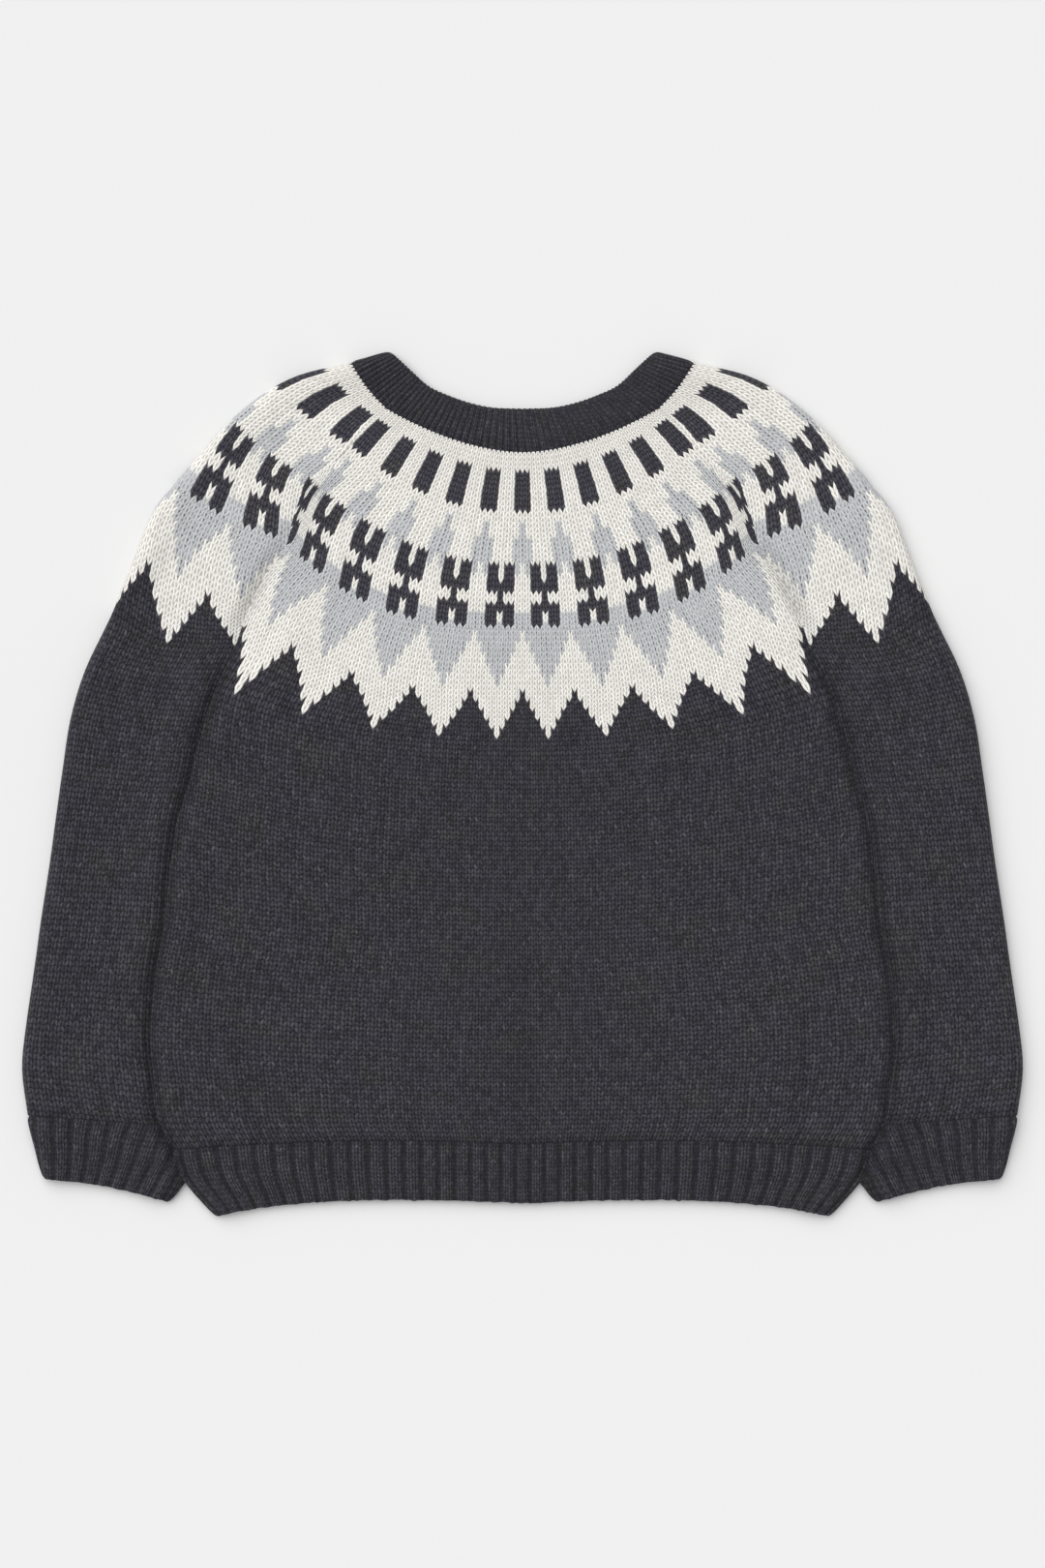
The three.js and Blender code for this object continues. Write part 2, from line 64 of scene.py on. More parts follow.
# The laid cloth, as in the solids.
LAID_HEIGHT = 5.8  # top of the front where it lies on the back
FOLD_PUFF = 1.9  # how much higher the cloth stands beside a fold
PUFF_WIDTH = 6.0  # how wide that rise stands at its full height
PUFF_FADE = 9.0  # how far it then takes to fade
FOLD_REACH = 5.0  # horizontal radius of a folded edge
SLEEVE_CLEARANCE = 0.2  # space between the body's side and the sleeve, less than in the solids
SIDE_CREASE = 2.3  # how much lower the cloth lies at the line between body and sleeve
SIDE_CREASE_REACH = 5.0
SIDE_SHADE_REACH = 3.3  # how far the shade painted in the crease's middle reaches
SEAM_DIP = 0.8  # how deep the cloth sinks along the raglan seam
SEAM_DIP_REACH = 6.0  # how far from the seam it sinks
SEAM_GROOVE = 0.5  # how much deeper the sewn line itself lies
SEAM_GROOVE_REACH = 1.3
EDGE_ROUNDING = 1.2  # how far a hem, cuff or neck edge is rounded down
ROUNDED_WIDTH = 3.2  # how wide that rounding is
WELT_SEAM = 0.7  # how deep the cloth sinks where a welt begins
WELT_SEAM_REACH = 1.8
WELT_SHADE = 0.5  # how dark the shade painted along that line is, from 0 to 1
CREASE_SHADE = 0.3  # how dark the shade painted in a crease a millimetre deep is
EDGE_FLATTENING = 0.35  # how much thinner the cloth lies at an open edge
SIDE_SEAM_GAP = 0.1  # space between front and back along the folded sides
UNEVENNESS, UNEVEN_LENGTH = 0.12, 22  # how high and how long the cloth's random waves are

HEM_RIBS = 40
HEM_CROWDING = 0.25  # how much closer the ribs stand at the centre
HEM_SPLAY = 3.4  # power with which the ribs begin to lean towards the sides
CUFF_RIB_WIDTHS = (8.8, 6.5)  # at the cuff's top and at its open edge
CUFF_FOLD_PHASE = (0.6, 0.1)  # how far past a groove the outer fold lies at both
NECK_RIBS = 136  # all round
NECK_SPREAD = 0.2  # how much wider they stand at the centre, front and back
NECK_RISE = 0.6  # how high they stand, as a share of the welts' ribs
CREST = 0.71  # the raised share of a rib
GROOVE_DEPTH = 0.35  # how deep the groove beside it is, as a share of its rise
WELT_WALES, NECK_WALES = 4, 2  # in a rib and its groove
CUFF_FIRST_RIB = 100  # added to a cuff's count of ribs, so that none is less than 0
RIBS_BEGIN = (-0.6, 2.2)  # distances from a welt's seam between which its ribs rise
HEM_LOOPS, CUFF_LOOPS, NECK_LOOPS = 0.3, 0.2, 0.3  # how far the loops of an open edge stand out

# Each piece as it is knitted, flat: its width and length, and its area where that is less.
BODY_FLAT, BODY_AREA = (0.36, 0.34), 0.1
SLEEVE_FLAT, SLEEVE_AREA = (0.2, 0.36), 0.05
HEM_FLAT = (0.33, 0.032)
CUFF_FLAT = (0.125, 0.032)
NECK_FLAT = (0.37, 0.021)

# The rows and columns of the meshes.
ROWS_IN_SECTION = 4
COLUMNS_IN_REPEAT = 40
HEM_COLUMNS_IN_RIB, NECK_COLUMNS_IN_RIB = 12, 9
CUFF_COLUMNS = 281
WELT_ROWS = np.concatenate([np.linspace(0, 0.9, 15), np.linspace(0.925, 1, 6)])
NECK_ROWS = np.concatenate([np.linspace(0, 0.84, 12), np.linspace(0.88, 1, 6)])

# Sections across the body from the neck seam to the hem welt: the height of the section on the
# centre line, its end on the raglan seam or side fold, the power with which it climbs to that end,
# how far its middle part is lifted, and the knitted course that it follows.
BODY_SECTIONS = np.array([
    (154.4, 63.2, 174.6, 1.8, 0.0, 0.0),
    (136.4, 73.4, 165.8, 2.2, 0.0, 8.0),
    (119.0, 86.0, 151.4, 2.2, 0.0, 15.0),
    (102.4, 99.9, 139.9, 2.4, 0.0, 22.0),
    (86.2, 106.0, 126.7, 2.7, 0.0, 28.1),
    (72.7, 110.0, 112.0, 3.0, 0.0, 34.3),
    (58.3, 119.6, 98.6, 3.0, 0.0, 40.0),
    (43.4, 127.8, 82.1, 2.8, 0.0, 46.0),
    (32.0, 133.2, 65.9, 2.5, 0.0, 51.2),
    (20.0, 143.5, 43.5, 2.2, 0.0, 56.8),
    (3.0, 150.3, 22.0, 2.0, 0.0, 64.5),
    (-15.0, 155.0, 2.5, 2.0, 0.0, 72.7),
    (-34.0, 160.5, -16.0, 2.0, 0.0, 81.3),
    (-55.0, 164.4, -39.8, 2.0, 0.0, 90.9),
    (-78.0, 166.8, -65.0, 2.0, 0.0, 101.3),
    (-101.0, 171.2, -89.3, 2.0, 0.0, 111.8),
    (-127.0, 173.5, -118.6, 2.0, 0.0, 123.6),
    (-144.0, 171.6, -139.0, 2.0, 0.3, 131.3),
    (-157.5, 169.4, -156.0, 2.0, 1.0, 137.4),
    (-167.6, 162.6, -170.2, 2.4, 2.2, 142.0),
])
UNDERARM = 8.0  # the section where body and sleeve part
TURNING_ROWS = 1.3  # how many sections their edges take from there to fold down

# Sections across a sleeve: the body section where it leaves the seam or runs beside the body, its
# end on the folded outline, how far its middle hangs towards the cuff, and its course.
SLEEVE_SECTIONS = np.array([
    (0, 79.9, 196.2, 1.2, 0.0),
    (1, 104.2, 190.4, 1.5, 8.0),
    (2, 122.0, 180.8, 2.0, 15.0),
    (3, 138.2, 167.2, 2.5, 23.4),
    (4, 151.8, 151.8, 3.0, 29.3),
    (5, 163.0, 138.6, 3.5, 34.7),
    (6, 173.2, 125.0, 4.0, 40.7),
    (7, 181.6, 103.5, 4.0, 46.8),
    (8, 193.3, 74.9, 3.5, 55.8),
    (9, 203.7, 52.9, 2.5, 64.9),
    (10, 210.5, 30.0, 1.5, 73.7),
    (11, 214.0, 7.5, 1.0, 82.1),
    (12, 216.9, -13.0, 0.5, 89.7),
    (13, 220.0, -36.0, 0.0, 98.2),
    (14, 224.0, -62.0, 0.0, 107.8),
    (15, 227.4, -86.5, 0.0, 116.9),
    (16, 231.3, -113.5, 0.0, 126.9),
    (17, 233.0, -133.0, 0.0, 134.1),
    (18.2, 230.4, -154.3, 0.0, 142.0),
])

# Sections of the hem welt down to its open edge, with the body's columns.
HEM_SECTIONS = np.array([
    (-167.6, 162.6, -170.2, 2.4, 2.2, 0.0),
    (-181.5, 157.5, -184.1, 3.5, 1.8, 7.3),
    (-195.4, 142.7, -201.5, 5.0, 2.0, 14.6),
])

# Sections of a cuff welt: its inner end, its outer end, how far its middle hangs, and its course.
CUFF_SECTIONS = np.array([
    (168.6, -158.7, 230.4, -154.3, 0.0, 0.0),
    (163.6, -168.5, 228.6, -161.8, -0.6, 3.2),
    (160.0, -177.2, 226.4, -170.8, -1.2, 6.4),
    (157.6, -185.0, 224.8, -178.6, -1.6, 9.6),
    (165.2, -194.8, 223.4, -184.0, -1.8, 12.8),
])

# The neck opening's edge from the centre to the fold at the shoulder.
NECK_EDGE = np.array([
    (0.0, 174.8), (14.4, 175.4), (26.6, 178.2), (36.5, 181.8),
    (44.6, 185.9), (52.0, 192.6), (57.8, 198.0), (62.2, 201.5),
])
NECK_COURSES = 9.5

# Broad soft swells and hollows, on both halves alike: the middle, the way it runs in degrees from
# +X, its half length and half width, and its height.
SWELLS = (
    (0, -88, 0, 70, 26, -0.5),
    (118, -60, 75, 70, 26, 0.7),
    (128, -128, 10, 40, 16, 0.6),
    (112, 62, -58, 34, 9, 0.8),
    (58, 60, 8, 46, 22, 0.5),
    (192, -20, 80, 60, 16, 0.9),
    (205, -132, 5, 22, 14, 0.9),
    (150, 118, 40, 26, 14, 0.7),
)

# Soft creases laid in the cloth, on both halves alike, in the same columns.
CREASES = (
    (152, -126, 86, 30, 6, 0.6),
    (131, -128, 82, 34, 5, -0.7),
    (39, -14, -52, 26, 4, -0.4),
    (106, -30, 86, 20, 5, -0.4),
    (0, -92, 90, 20, 9, -0.5),
    (0, -138, 90, 26, 9, -0.7),
    (22, -142, 84, 20, 6, 0.3),
    (125, 88, -63, 26, 4.2, -1.5),
    (200, -92, 14, 20, 6, -0.6),
    (198, -56, 82, 26, 9, 0.5),
    (176, 92, -52, 24, 5, -0.4),
    (84, 18, 30, 24, 5, -0.3),
)

# How many pattern repeats lie between the centre and the body's edge, and between the sleeve's
# inner edge or folded outline and the pattern's first axis, at some courses.
BODY_REPEATS = (
    (0, 5.35), (8, 5.33), (22, 5.2), (34, 5.12), (46, 4.95), (56, 4.83), (76, 5.1), (96, 5.3)
)
SLEEVE_INNER = (
    (0, 0.62), (8, 0.64), (22, 0.71), (34, 1.01), (46, 1.36), (56, 1.49), (70, 1.49), (142, 1.72)
)
SLEEVE_OUTER = ((0, 3.05), (22, 3.03), (34, 3.18), (46, 3.32), (56, 3.51))

# At some courses, how many repeats more are squeezed in beside the seam, and how much closer the
# wales stand at the centre.
SQUEEZED_REPEATS = ((16, 0.0), (20, 0.5), (27, 0.5), (31, 0.34), (35, 0.12), (41, 0.0))
CROWDING = ((8, 0.04), (22, 0.12), (34, 0.11), (46, 0.21), (56, 0.3), (70, 0.26))

# How many courses further the knit has come at the body's sides and at the sleeve's outline.
COURSE_TILT = ((14, 0.0), (22, 0.9), (30, 0.0), (40, 0.0), (47, -0.9), (54, 0.0))
OUTLINE_TILT = ((44, 0.0), (54, 2.0), (66, 0.0))

FIXED_BODY_REPEATS = 4.4  # columns follow the wales up to here, and gather towards the edge
BODY_EDGE_REPEATS = 5.3
FIXED_SLEEVE_REPEATS = (2.0, 4.86)
SLEEVE_EDGE_REPEATS = (1.45, 5.41)

# The yoke's chart: for each number of stitches from a motif's axis, its yarns in turn, in slate,
# cream and grey, and the courses at which they begin. The zones have 6, 8 and 10 stitches in a
# repeat.
YARNS = {"C": (1, 0, 0, 1), "G": (0, 1, 0, 1), "S": (0, 0, 1, 1)}
CHART = (
    ("SCSCGCGCS", (-1, 0, 4, 12, 14, 22, 31, 35, 46)),
    ("SCSCGCGCS", (-1, 0, 4, 12, 17, 24, 31, 37, 48)),
    ("SCSCSGCS", (-1, 0, 22, 27, 29, 34, 39, 50)),
    ("SCSCSGCS", (-1, 0, 22, 27, 29, 34, 41, 52)),
    ("SCSCGCS", (-1, 0, 25, 31, 33, 43, 54)),
    ("SCGCS", (-1, 0, 33, 45, 56)),
)
CHART_COURSES = 64
SECOND_ZONE, THIRD_ZONE, PLAIN_ZONE = 22, 35, 56  # the courses where these begin
COURSE_HEIGHT = 2.25  # on the body and the sleeves
STITCH_LEAN = 1.8  # how many courses a stitch's arms rise from its foot to its shoulders


# Reading the tables

def smooth_rows(table, rows):
    """The table's columns at any places between its rows, each along a smooth curve."""
    ends = (2 * table[:1] - table[1:2], table, 2 * table[-1:] - table[-2:-1])
    padded = np.concatenate(ends)
    rows = np.clip(rows, 0, len(table) - 1)
    first = np.minimum(rows.astype(int), len(table) - 2)
    part = (rows - first)[:, None]
    before, low, high, after = (padded[first + i] for i in range(4))
    rise, fall = (high - before) / 2, (after - low) / 2
    bend = -3 * low + 3 * high - 2 * rise - fall
    turn = 2 * low - 2 * high + rise + fall
    return (low + part * (rise + part * (bend + part * turn))).T


def section_rows(table):
    """Where a mesh's rows lie between the first and the last of a table's sections."""
    return np.arange(0, len(table) - 0.99, 1 / ROWS_IN_SECTION)


def picked(wanted, known, values):
    """Each row's values at the places that are wanted between its known ones."""
    return np.array([np.interp(*row) for row in zip(wanted, known, values)])


def by_course(knots, courses):
    """A value that changes evenly between the courses of its knots."""
    return np.interp(courses, *zip(*knots))


def smoothstep(value, low, high):
    """0 below low, 1 above high, and a soft step between."""
    part = np.clip((value - low) / (high - low), 0, 1)
    return part * part * (3 - 2 * part)


def turn_at(body_row):
    """How far a panel's edge has folded down at a section: not at all above the underarm."""
    return smoothstep(body_row, UNDERARM, UNDERARM + TURNING_ROWS)


def dip_at(body_row):
    """How deep the raglan seam lies at a section."""
    return SEAM_DIP * smoothstep(body_row, 1, UNDERARM - 2)


# Lines on the surface

def run_along(x, y):
    """The distance from a line's start to each of its points, for one line or a row of them each."""
    steps = np.hypot(np.diff(x), np.diff(y)).cumsum(-1)
    return np.concatenate([np.zeros((*x.shape[:-1], 1)), steps], -1)


def plan_lines(x, y):
    """Lines on the surface, one for each row, met again by the distance along them. Each goes
    straight on a little past its ends."""
    longer = []
    for values in (x, y):
        start = values[:, :1] - (values[:, 1:2] - values[:, :1])
        stop = values[:, -1:] + (values[:, -1:] - values[:, -2:-1])
        longer.append(np.concatenate([start, values, stop], 1))
    x, y = longer
    reach = run_along(x, y)
    reach -= reach[:, 1:2]
    return {"x": x, "y": y, "reach": reach, "length": reach[:, -2:-1]}


def both_halves(x, y):
    """Lines right across, from their right halves, which begin on the centre line."""
    return plan_lines(np.hstack([-x[:, :0:-1], x]), np.hstack([y[:, :0:-1], y]))


def along(lines, distances):
    """The places at those distances along each row's line."""
    return tuple(picked(distances, lines["reach"], lines[axis]) for axis in "xy")


def body_lines(table, rows):
    """Sections right across the body or hem welt, from the left end to the right end."""
    middle_y, edge_x, edge_y, bow, lift, _ = (c[:, None] for c in smooth_rows(table, rows))
    t = np.linspace(0, 1, 61)[None, :]
    x = edge_x * t
    y = middle_y + (edge_y - middle_y) * t ** bow + lift * np.sin(math.pi * t) * (1 - t / 3)
    return both_halves(x, y)


def hanging_lines(inner_x, inner_y, outer_x, outer_y, sag):
    """Sections across a sleeve or cuff from its inner edge to its folded outline."""
    width = np.hypot(outer_x - inner_x, outer_y - inner_y)
    across_x, across_y = (outer_x - inner_x) / width, (outer_y - inner_y) / width
    t = np.linspace(0, 1, 41)[None, :]
    hang = sag[:, None] * np.sin(math.pi * t)
    run = width[:, None] * t
    x = inner_x[:, None] + across_x[:, None] * run + across_y[:, None] * hang
    y = inner_y[:, None] + across_y[:, None] * run - across_x[:, None] * hang
    return plan_lines(x, y)


def sleeve_lines(rows):
    """Sections across the right sleeve, and the body section that each one meets."""
    body_row, outer_x, outer_y, sag, _ = smooth_rows(SLEEVE_SECTIONS, rows)
    body = smooth_rows(BODY_SECTIONS, body_row)
    inner_x = body[1] + SLEEVE_CLEARANCE * turn_at(body_row)
    return hanging_lines(inner_x, body[2], outer_x, outer_y, sag), body_row


def neck_lines(shares):
    """Lines round the neckband's front, from the yoke's seam at 0 to the open edge at 1."""
    seam = body_lines(BODY_SECTIONS, np.zeros(1))
    half = len(seam["x"][0]) // 2
    top, _ = sleeve_lines(np.zeros(1))
    x = np.concatenate([seam["x"][0, half:-1], top["x"][0, 2:-1]])
    y = np.concatenate([seam["y"][0, half:-1], top["y"][0, 2:-1]])
    reach = run_along(x, y)
    t = np.linspace(0, 1, 121)
    low_x = np.interp(t * reach[-1], reach, x)
    low_y = np.interp(t * reach[-1], reach, y)
    high_x, high_y = smooth_rows(NECK_EDGE, t * (len(NECK_EDGE) - 1))
    share = shares[:, None]
    x = low_x + share * (high_x - low_x)
    y = low_y + share * (high_y - low_y)
    return both_halves(x, y)


# Heights of the laid cloth

def soft_hills(hills, x, y):
    """Height that a table of soft hills and hollows gives at a place."""
    height = np.zeros_like(x)
    for middle_x, middle_y, turn, long, wide, tall in hills:
        angle = math.radians(turn)
        away_x, away_y = np.abs(x) - middle_x, y - middle_y
        with_it = away_x * math.cos(angle) + away_y * math.sin(angle)
        beside = away_y * math.cos(angle) - away_x * math.sin(angle)
        height += tall * np.exp(-((with_it / long) ** 2) - (beside / wide) ** 2)
    return height


def unevenness(x, y, length, seed):
    """A soft random height from -1 to 1 or so, whose waves are about that long."""
    draw = np.random.default_rng(seed)
    height = np.zeros_like(x)
    waves = 14
    for _ in range(waves):
        angle, phase = draw.uniform(0, math.tau, 2)
        step = math.tau / (length * draw.uniform(0.7, 1.5))
        height += np.cos((x * math.cos(angle) + y * math.sin(angle)) * step + phase)
    return height / math.sqrt(waves)


def side_crease(away, folded):
    """How far the cloth sinks beside the line between body and sleeve."""
    return SIDE_CREASE * folded * np.exp(-((away / SIDE_CREASE_REACH) ** 2))


def top_at(x, y, edges):
    """The cloth's top. Each edge says how far away it is, how far it is folded, and how deep its
    seam lies where it isn't."""
    top = LAID_HEIGHT + soft_hills(SWELLS, x, y)
    for away, folded, dip in edges:
        puff = np.exp(-((np.clip(away - PUFF_WIDTH, 0, None) / PUFF_FADE) ** 2))
        top = top + FOLD_PUFF * folded * puff
        sewn = dip * np.exp(-((away / SEAM_DIP_REACH) ** 2))
        groove = SEAM_GROOVE * dip / SEAM_DIP * np.exp(-((away / SEAM_GROOVE_REACH) ** 2))
        top = top - (1 - folded) * (sewn + groove)
    return top


# Ways round the cloth: the distance along the section and the height, from one end to the other

CURL = np.linspace(0, math.pi / 2, 9)[None, :]
FOLD = np.linspace(0, math.pi, 19)[None, :]
FLAT = np.linspace(0, 1, 201)[None, 1:-1]


def flat_part(length):
    """Distances over the flat part of a section, between its two edges."""
    return FOLD_REACH + FLAT * (length - 2 * FOLD_REACH)


def edge_heights(top, edge, length, folded):
    """Heights of the upper and the lower cloth out to a folded edge, where they nearly meet."""
    middle = top(FOLD_REACH + 0 * length) / 2
    turned = (1 - np.cos(folded * math.pi / 2)) * (1 - np.cos(CURL))
    upper = top(edge) - turned * (top(0 * length) - middle - SIDE_SEAM_GAP / 2)
    return upper, turned * (middle - SIDE_SEAM_GAP / 2)


def panel_way(lines, folded, dip, facing):
    """Across a body panel, its edges turned down or up as far as they are folded."""
    length = lines["length"]
    folded, dip = folded[:, None], dip[:, None]

    def top(s):
        x, y = along(lines, s)
        away = np.minimum(s, length - s)
        return top_at(x, y, [(away, folded, dip)]) - side_crease(away, folded)

    edge = FOLD_REACH - FOLD_REACH * np.sin(CURL) + 0 * length
    flat = flat_part(length)
    upper, lower = edge_heights(top, edge, length, folded)
    ends, middle = (upper, top(flat)) if facing > 0 else (lower, 0 * flat)
    return np.hstack([edge[:, ::-1], flat, length - edge]), np.hstack([ends[:, ::-1], middle, ends])


def tube_way(lines, folded, dip):
    """Out over a sleeve or cuff, round its folded outline and back underneath."""
    length = lines["length"]
    folded, dip = folded[:, None], dip[:, None]

    def top(s):
        x, y = along(lines, s)
        return top_at(x, y, [(s, folded, dip), (length - s, 1.0, 0.0)]) - side_crease(s, folded)

    edge = FOLD_REACH - FOLD_REACH * np.sin(CURL) + 0 * length
    flat = flat_part(length)
    upper, lower = edge_heights(top, edge, length, folded)
    half = top(length - FOLD_REACH) / 2
    round_s = length - FOLD_REACH + FOLD_REACH * np.sin(FOLD)
    round_z = half + half * np.cos(FOLD)
    ways = [edge[:, ::-1], flat, round_s, flat[:, ::-1], edge]
    heights = [upper[:, ::-1], top(flat), round_z, 0 * flat, lower]
    return np.hstack(ways), np.hstack(heights)


def neck_way(lines):
    """Round the neckband: up round the left fold, over, down round the right fold, and back."""
    length = lines["length"]

    def top(s):
        x, y = along(lines, s)
        return top_at(x, y, [(np.minimum(s, length - s), 1.0, 0.0)])

    flat = flat_part(length)
    start = FOLD_REACH + 0 * length
    half = top(start) / 2
    left = start - FOLD_REACH * np.sin(FOLD)
    right = length - FOLD_REACH + FOLD_REACH * np.sin(FOLD)
    up, down = half - half * np.cos(FOLD), half + half * np.cos(FOLD)
    ways = [left, flat, right, flat[:, ::-1], start]
    heights = [up, top(flat), down, 0 * flat, 0 * start]
    return np.hstack(ways), np.hstack(heights)


def folds_out_at(way):
    """How far round the cloth each row's outermost point lies."""
    return np.array([run[np.argmax(s)] for run, s in zip(run_along(*way), way[0])])


def places_along(way, girth):
    """The distance along its section at each row's girths."""
    return picked(girth, run_along(*way), way[0])


def lay_cloth(lines, way, girth, facing, thickness, relief):
    """Places of the cloth's outer and inner face at the girths given for each row's columns.
    relief(x, y, up) is how far the outer face stands out of its plain form."""
    s, z = way
    side_s, side_z = -np.gradient(z, axis=1) * facing, np.gradient(s, axis=1) * facing
    size = np.hypot(side_s, side_z)
    values = (s, z, side_s / size, side_z / size)
    s, z, out_s, out_z = (picked(girth, run_along(*way), value) for value in values)
    x, y = along(lines, s)
    faces = []
    for depth in (-relief(x, y, out_z), thickness):
        x, y = along(lines, s - out_s * depth)
        faces.append(np.stack([x, y, z - out_z * depth], 2))
    return faces


# Meshes

def knit_grid(bm, places, knit, outwards):
    """Adds one face of the cloth as a grid bent to its places, and sets its knit map."""
    rows, columns = places.shape[:2]
    made = bmesh.ops.create_grid(bm, x_segments=columns - 1, y_segments=rows - 1, size=1.0)
    verts = made["verts"]
    flat = np.array([vert.co[:2] for vert in verts])
    column = np.rint((flat[:, 0] + 1) / 2 * (columns - 1)).astype(int)
    row = rows - 1 - np.rint((flat[:, 1] + 1) / 2 * (rows - 1)).astype(int)
    # the shade painted on each point
    painted_shade = bm.verts.layers.float[PAINTED_SHADE_MAP]
    at = {}
    for vert, r, c, place in zip(verts, row, column, places[row, column] * MM):
        vert.co = place
        at[vert] = knit[r, c, :2]
        vert[painted_shade] = knit[r, c, 2]
    ends = [[vert for vert, r in zip(verts, row) if r == end] for end in (0, rows - 1)]
    uv = bm.loops.layers.uv[KNIT_MAP]
    faces = {face for vert in verts for face in vert.link_faces}
    for face in faces:
        for loop in face.loops:
            loop[uv].uv = at[loop.vert]
    if not outwards:
        bmesh.ops.reverse_faces(bm, faces=list(faces))
    return verts, ends


def knit_piece(context, name, faces, knit, outwards=True, mirrored=False, ring=False):
    """A piece of cloth from its outer and inner face, both in millimetres."""
    outer, inner = faces
    if mirrored:
        outer, inner = outer * (-1, 1, 1), inner * (-1, 1, 1)
    bm = bmesh.new()
    bm.loops.layers.uv.new(KNIT_MAP)
    bm.verts.layers.float.new(PAINTED_SHADE_MAP)
    flip = outwards != mirrored
    rims = []
    for places, out in ((outer, flip), (inner, not flip)):
        verts, ends = knit_grid(bm, places, knit, out)
        if ring:
            close = bmesh.ops.find_doubles(bm, verts=verts, dist=1e-7)["targetmap"]
            bmesh.ops.weld_verts(bm, targetmap=close)
        rims.append(ends)
    close_rims(bm, rims, ring)
    mesh = bpy.data.meshes.new(name)
    bm.to_mesh(mesh)
    bm.free()
    mesh.shade_smooth()
    piece = bpy.data.objects.new(name, mesh)
    context.collection.objects.link(piece)
    return piece


def close_rims(bm, rims, ring):
    """Joins the outer and the inner face along their open edges. A ring has two of them."""
    edges = [edge for edge in bm.edges if edge.is_boundary]
    for edge in edges:
        edge.smooth = False
    if not ring:
        bmesh.ops.bridge_loops(bm, edges=edges)
        return
    for outer, inner in zip(*rims):
        verts = {vert for vert in outer + inner if vert.is_valid}
        bmesh.ops.bridge_loops(bm, edges=[e for e in edges if verts.issuperset(e.verts)])


# Knit columns and relief

def knit_places(across, course, painted_shade):
    """The knit map of each row's columns, and how much shade is painted on the cloth there."""
    return np.stack(np.broadcast_arrays(across, course, painted_shade), 2)


def laid_shade(x, y):
    """How dark the shade painted in the creases laid in the cloth is, from 0 to 1."""
    return CREASE_SHADE * np.clip(-soft_hills(CREASES, x, y), 0, 1.5)


def side_shade(away, dark):
    """How dark the shade painted in the crease beside a folded side is, from 0 to 1, but for its
    deepest line, which lies in shadow anyhow."""
    return dark * np.exp(-((away / SIDE_SHADE_REACH) ** 2)) * (1 - np.exp(-(away ** 2)))


def side_shade_at(body_row):
    """How dark the shade painted in the crease between body and sleeve is at a section, from 0 to 1.
    """
    return smoothstep(body_row, UNDERARM, UNDERARM + 0.6)[:, None]


def darkest(*shades):
    """The darkest of several painted shades at each place."""
    return functools.reduce(np.maximum, shades)


def welt_shade(distance):
    """How dark the shade painted along the line where a welt begins is, from 0 to 1."""
    return WELT_SHADE * np.exp(-((distance / WELT_SEAM_REACH) ** 2))


def gathered(columns, low, high, low_edge, high_edge):
    """Repeats at each row's columns: fixed between low and high, and gathered towards the edges,
    which lie at low_edge and high_edge on each row."""
    nominal = columns[None, :]
    repeats = np.repeat(nominal, len(low_edge), 0)
    first, last = columns[0], columns[-1]
    below = low - (low - nominal) * ((low - low_edge) / (low - first))[:, None]
    above = high + (nominal - high) * ((high_edge - high) / (last - high))[:, None]
    repeats = np.where(nominal < low, below, repeats)
    return np.where(nominal > high, above, repeats)


def wales_in(courses):
    """Stitches in a repeat at some courses."""
    return np.where(courses < SECOND_ZONE, 6, np.where(courses < THIRD_ZONE, 8, 10))


def body_girths(repeats, courses, full):
    """Where the repeats lie across a body panel whose girth is full, on each row."""
    t = np.linspace(0, 1, 401)
    edge = by_course(BODY_REPEATS, courses)
    squeezed = by_course(SQUEEZED_REPEATS, courses)
    crowding = by_course(CROWDING, courses)
    rows = []
    for row, wanted in enumerate(repeats):
        spread = edge[row] * (t + crowding[row] * t * (1 - t) ** 2)
        spread = spread + squeezed[row] * smoothstep(t, 0.89, 1.03) / smoothstep(1.0, 0.89, 1.03)
        share = np.interp(np.abs(wanted), spread, t)
        rows.append(full[row] / 2 * (1 + np.sign(wanted) * share))
    return np.array(rows)


def welt_seam(distance):
    """How far the cloth sinks at a distance from the line where a welt begins."""
    return WELT_SEAM * np.exp(-((distance / WELT_SEAM_REACH) ** 2))


def wale_relief(repeats, courses, depth, x, y, up):
    """Rounded wales with a groove between them, and the laid cloth's creases."""
    wave = np.cos(math.tau * repeats * wales_in(courses)[:, None])
    patterned = courses[:, None] < PLAIN_ZONE
    rise = depth * np.where(patterned, 0.5, 1.0) * wave
    laid = soft_hills(CREASES, x, y) + UNEVENNESS * unevenness(x, y, UNEVEN_LENGTH, seed=5)
    laid = laid - welt_seam((courses[-1] - courses)[:, None] * COURSE_HEIGHT)
    return rise + np.clip(up, 0, 1) * laid


def splayed(place, width):
    """Where the ribs lie across a hem row, from -1 to 1, for their places on its first row and its
    width as a share of that row's. They stand upright, and lean in only towards the sides."""
    t = np.linspace(0, 1, 401)
    crowded = np.interp(np.abs(place), t + HEM_CROWDING * t * (1 - t) ** 2, t)
    return np.sign(place) * (crowded - (1 - width) * crowded ** HEM_SPLAY) / width


def rib_relief(phase, rise):
    """Height across a rib: a broad crest of raised wales beside a narrow groove."""
    part = phase % 1
    over = np.clip(1 - np.abs(2 * part / CREST - 1) ** 3, 0, 1)
    under = np.sin(np.clip((part - CREST) / (1 - CREST), 0, 1) * math.pi)
    return np.where(part < CREST, rise * over, -GROOVE_DEPTH * rise * under)


def wale_count(phase, wales):
    """Wales counted from the first rib, half of each rib's raised and half in the groove."""
    whole, part = np.floor(phase), phase % 1
    half = wales / 2
    within = np.where(part < CREST, part / CREST * half, half + (part - CREST) / (1 - CREST) * half)
    return whole * wales + within


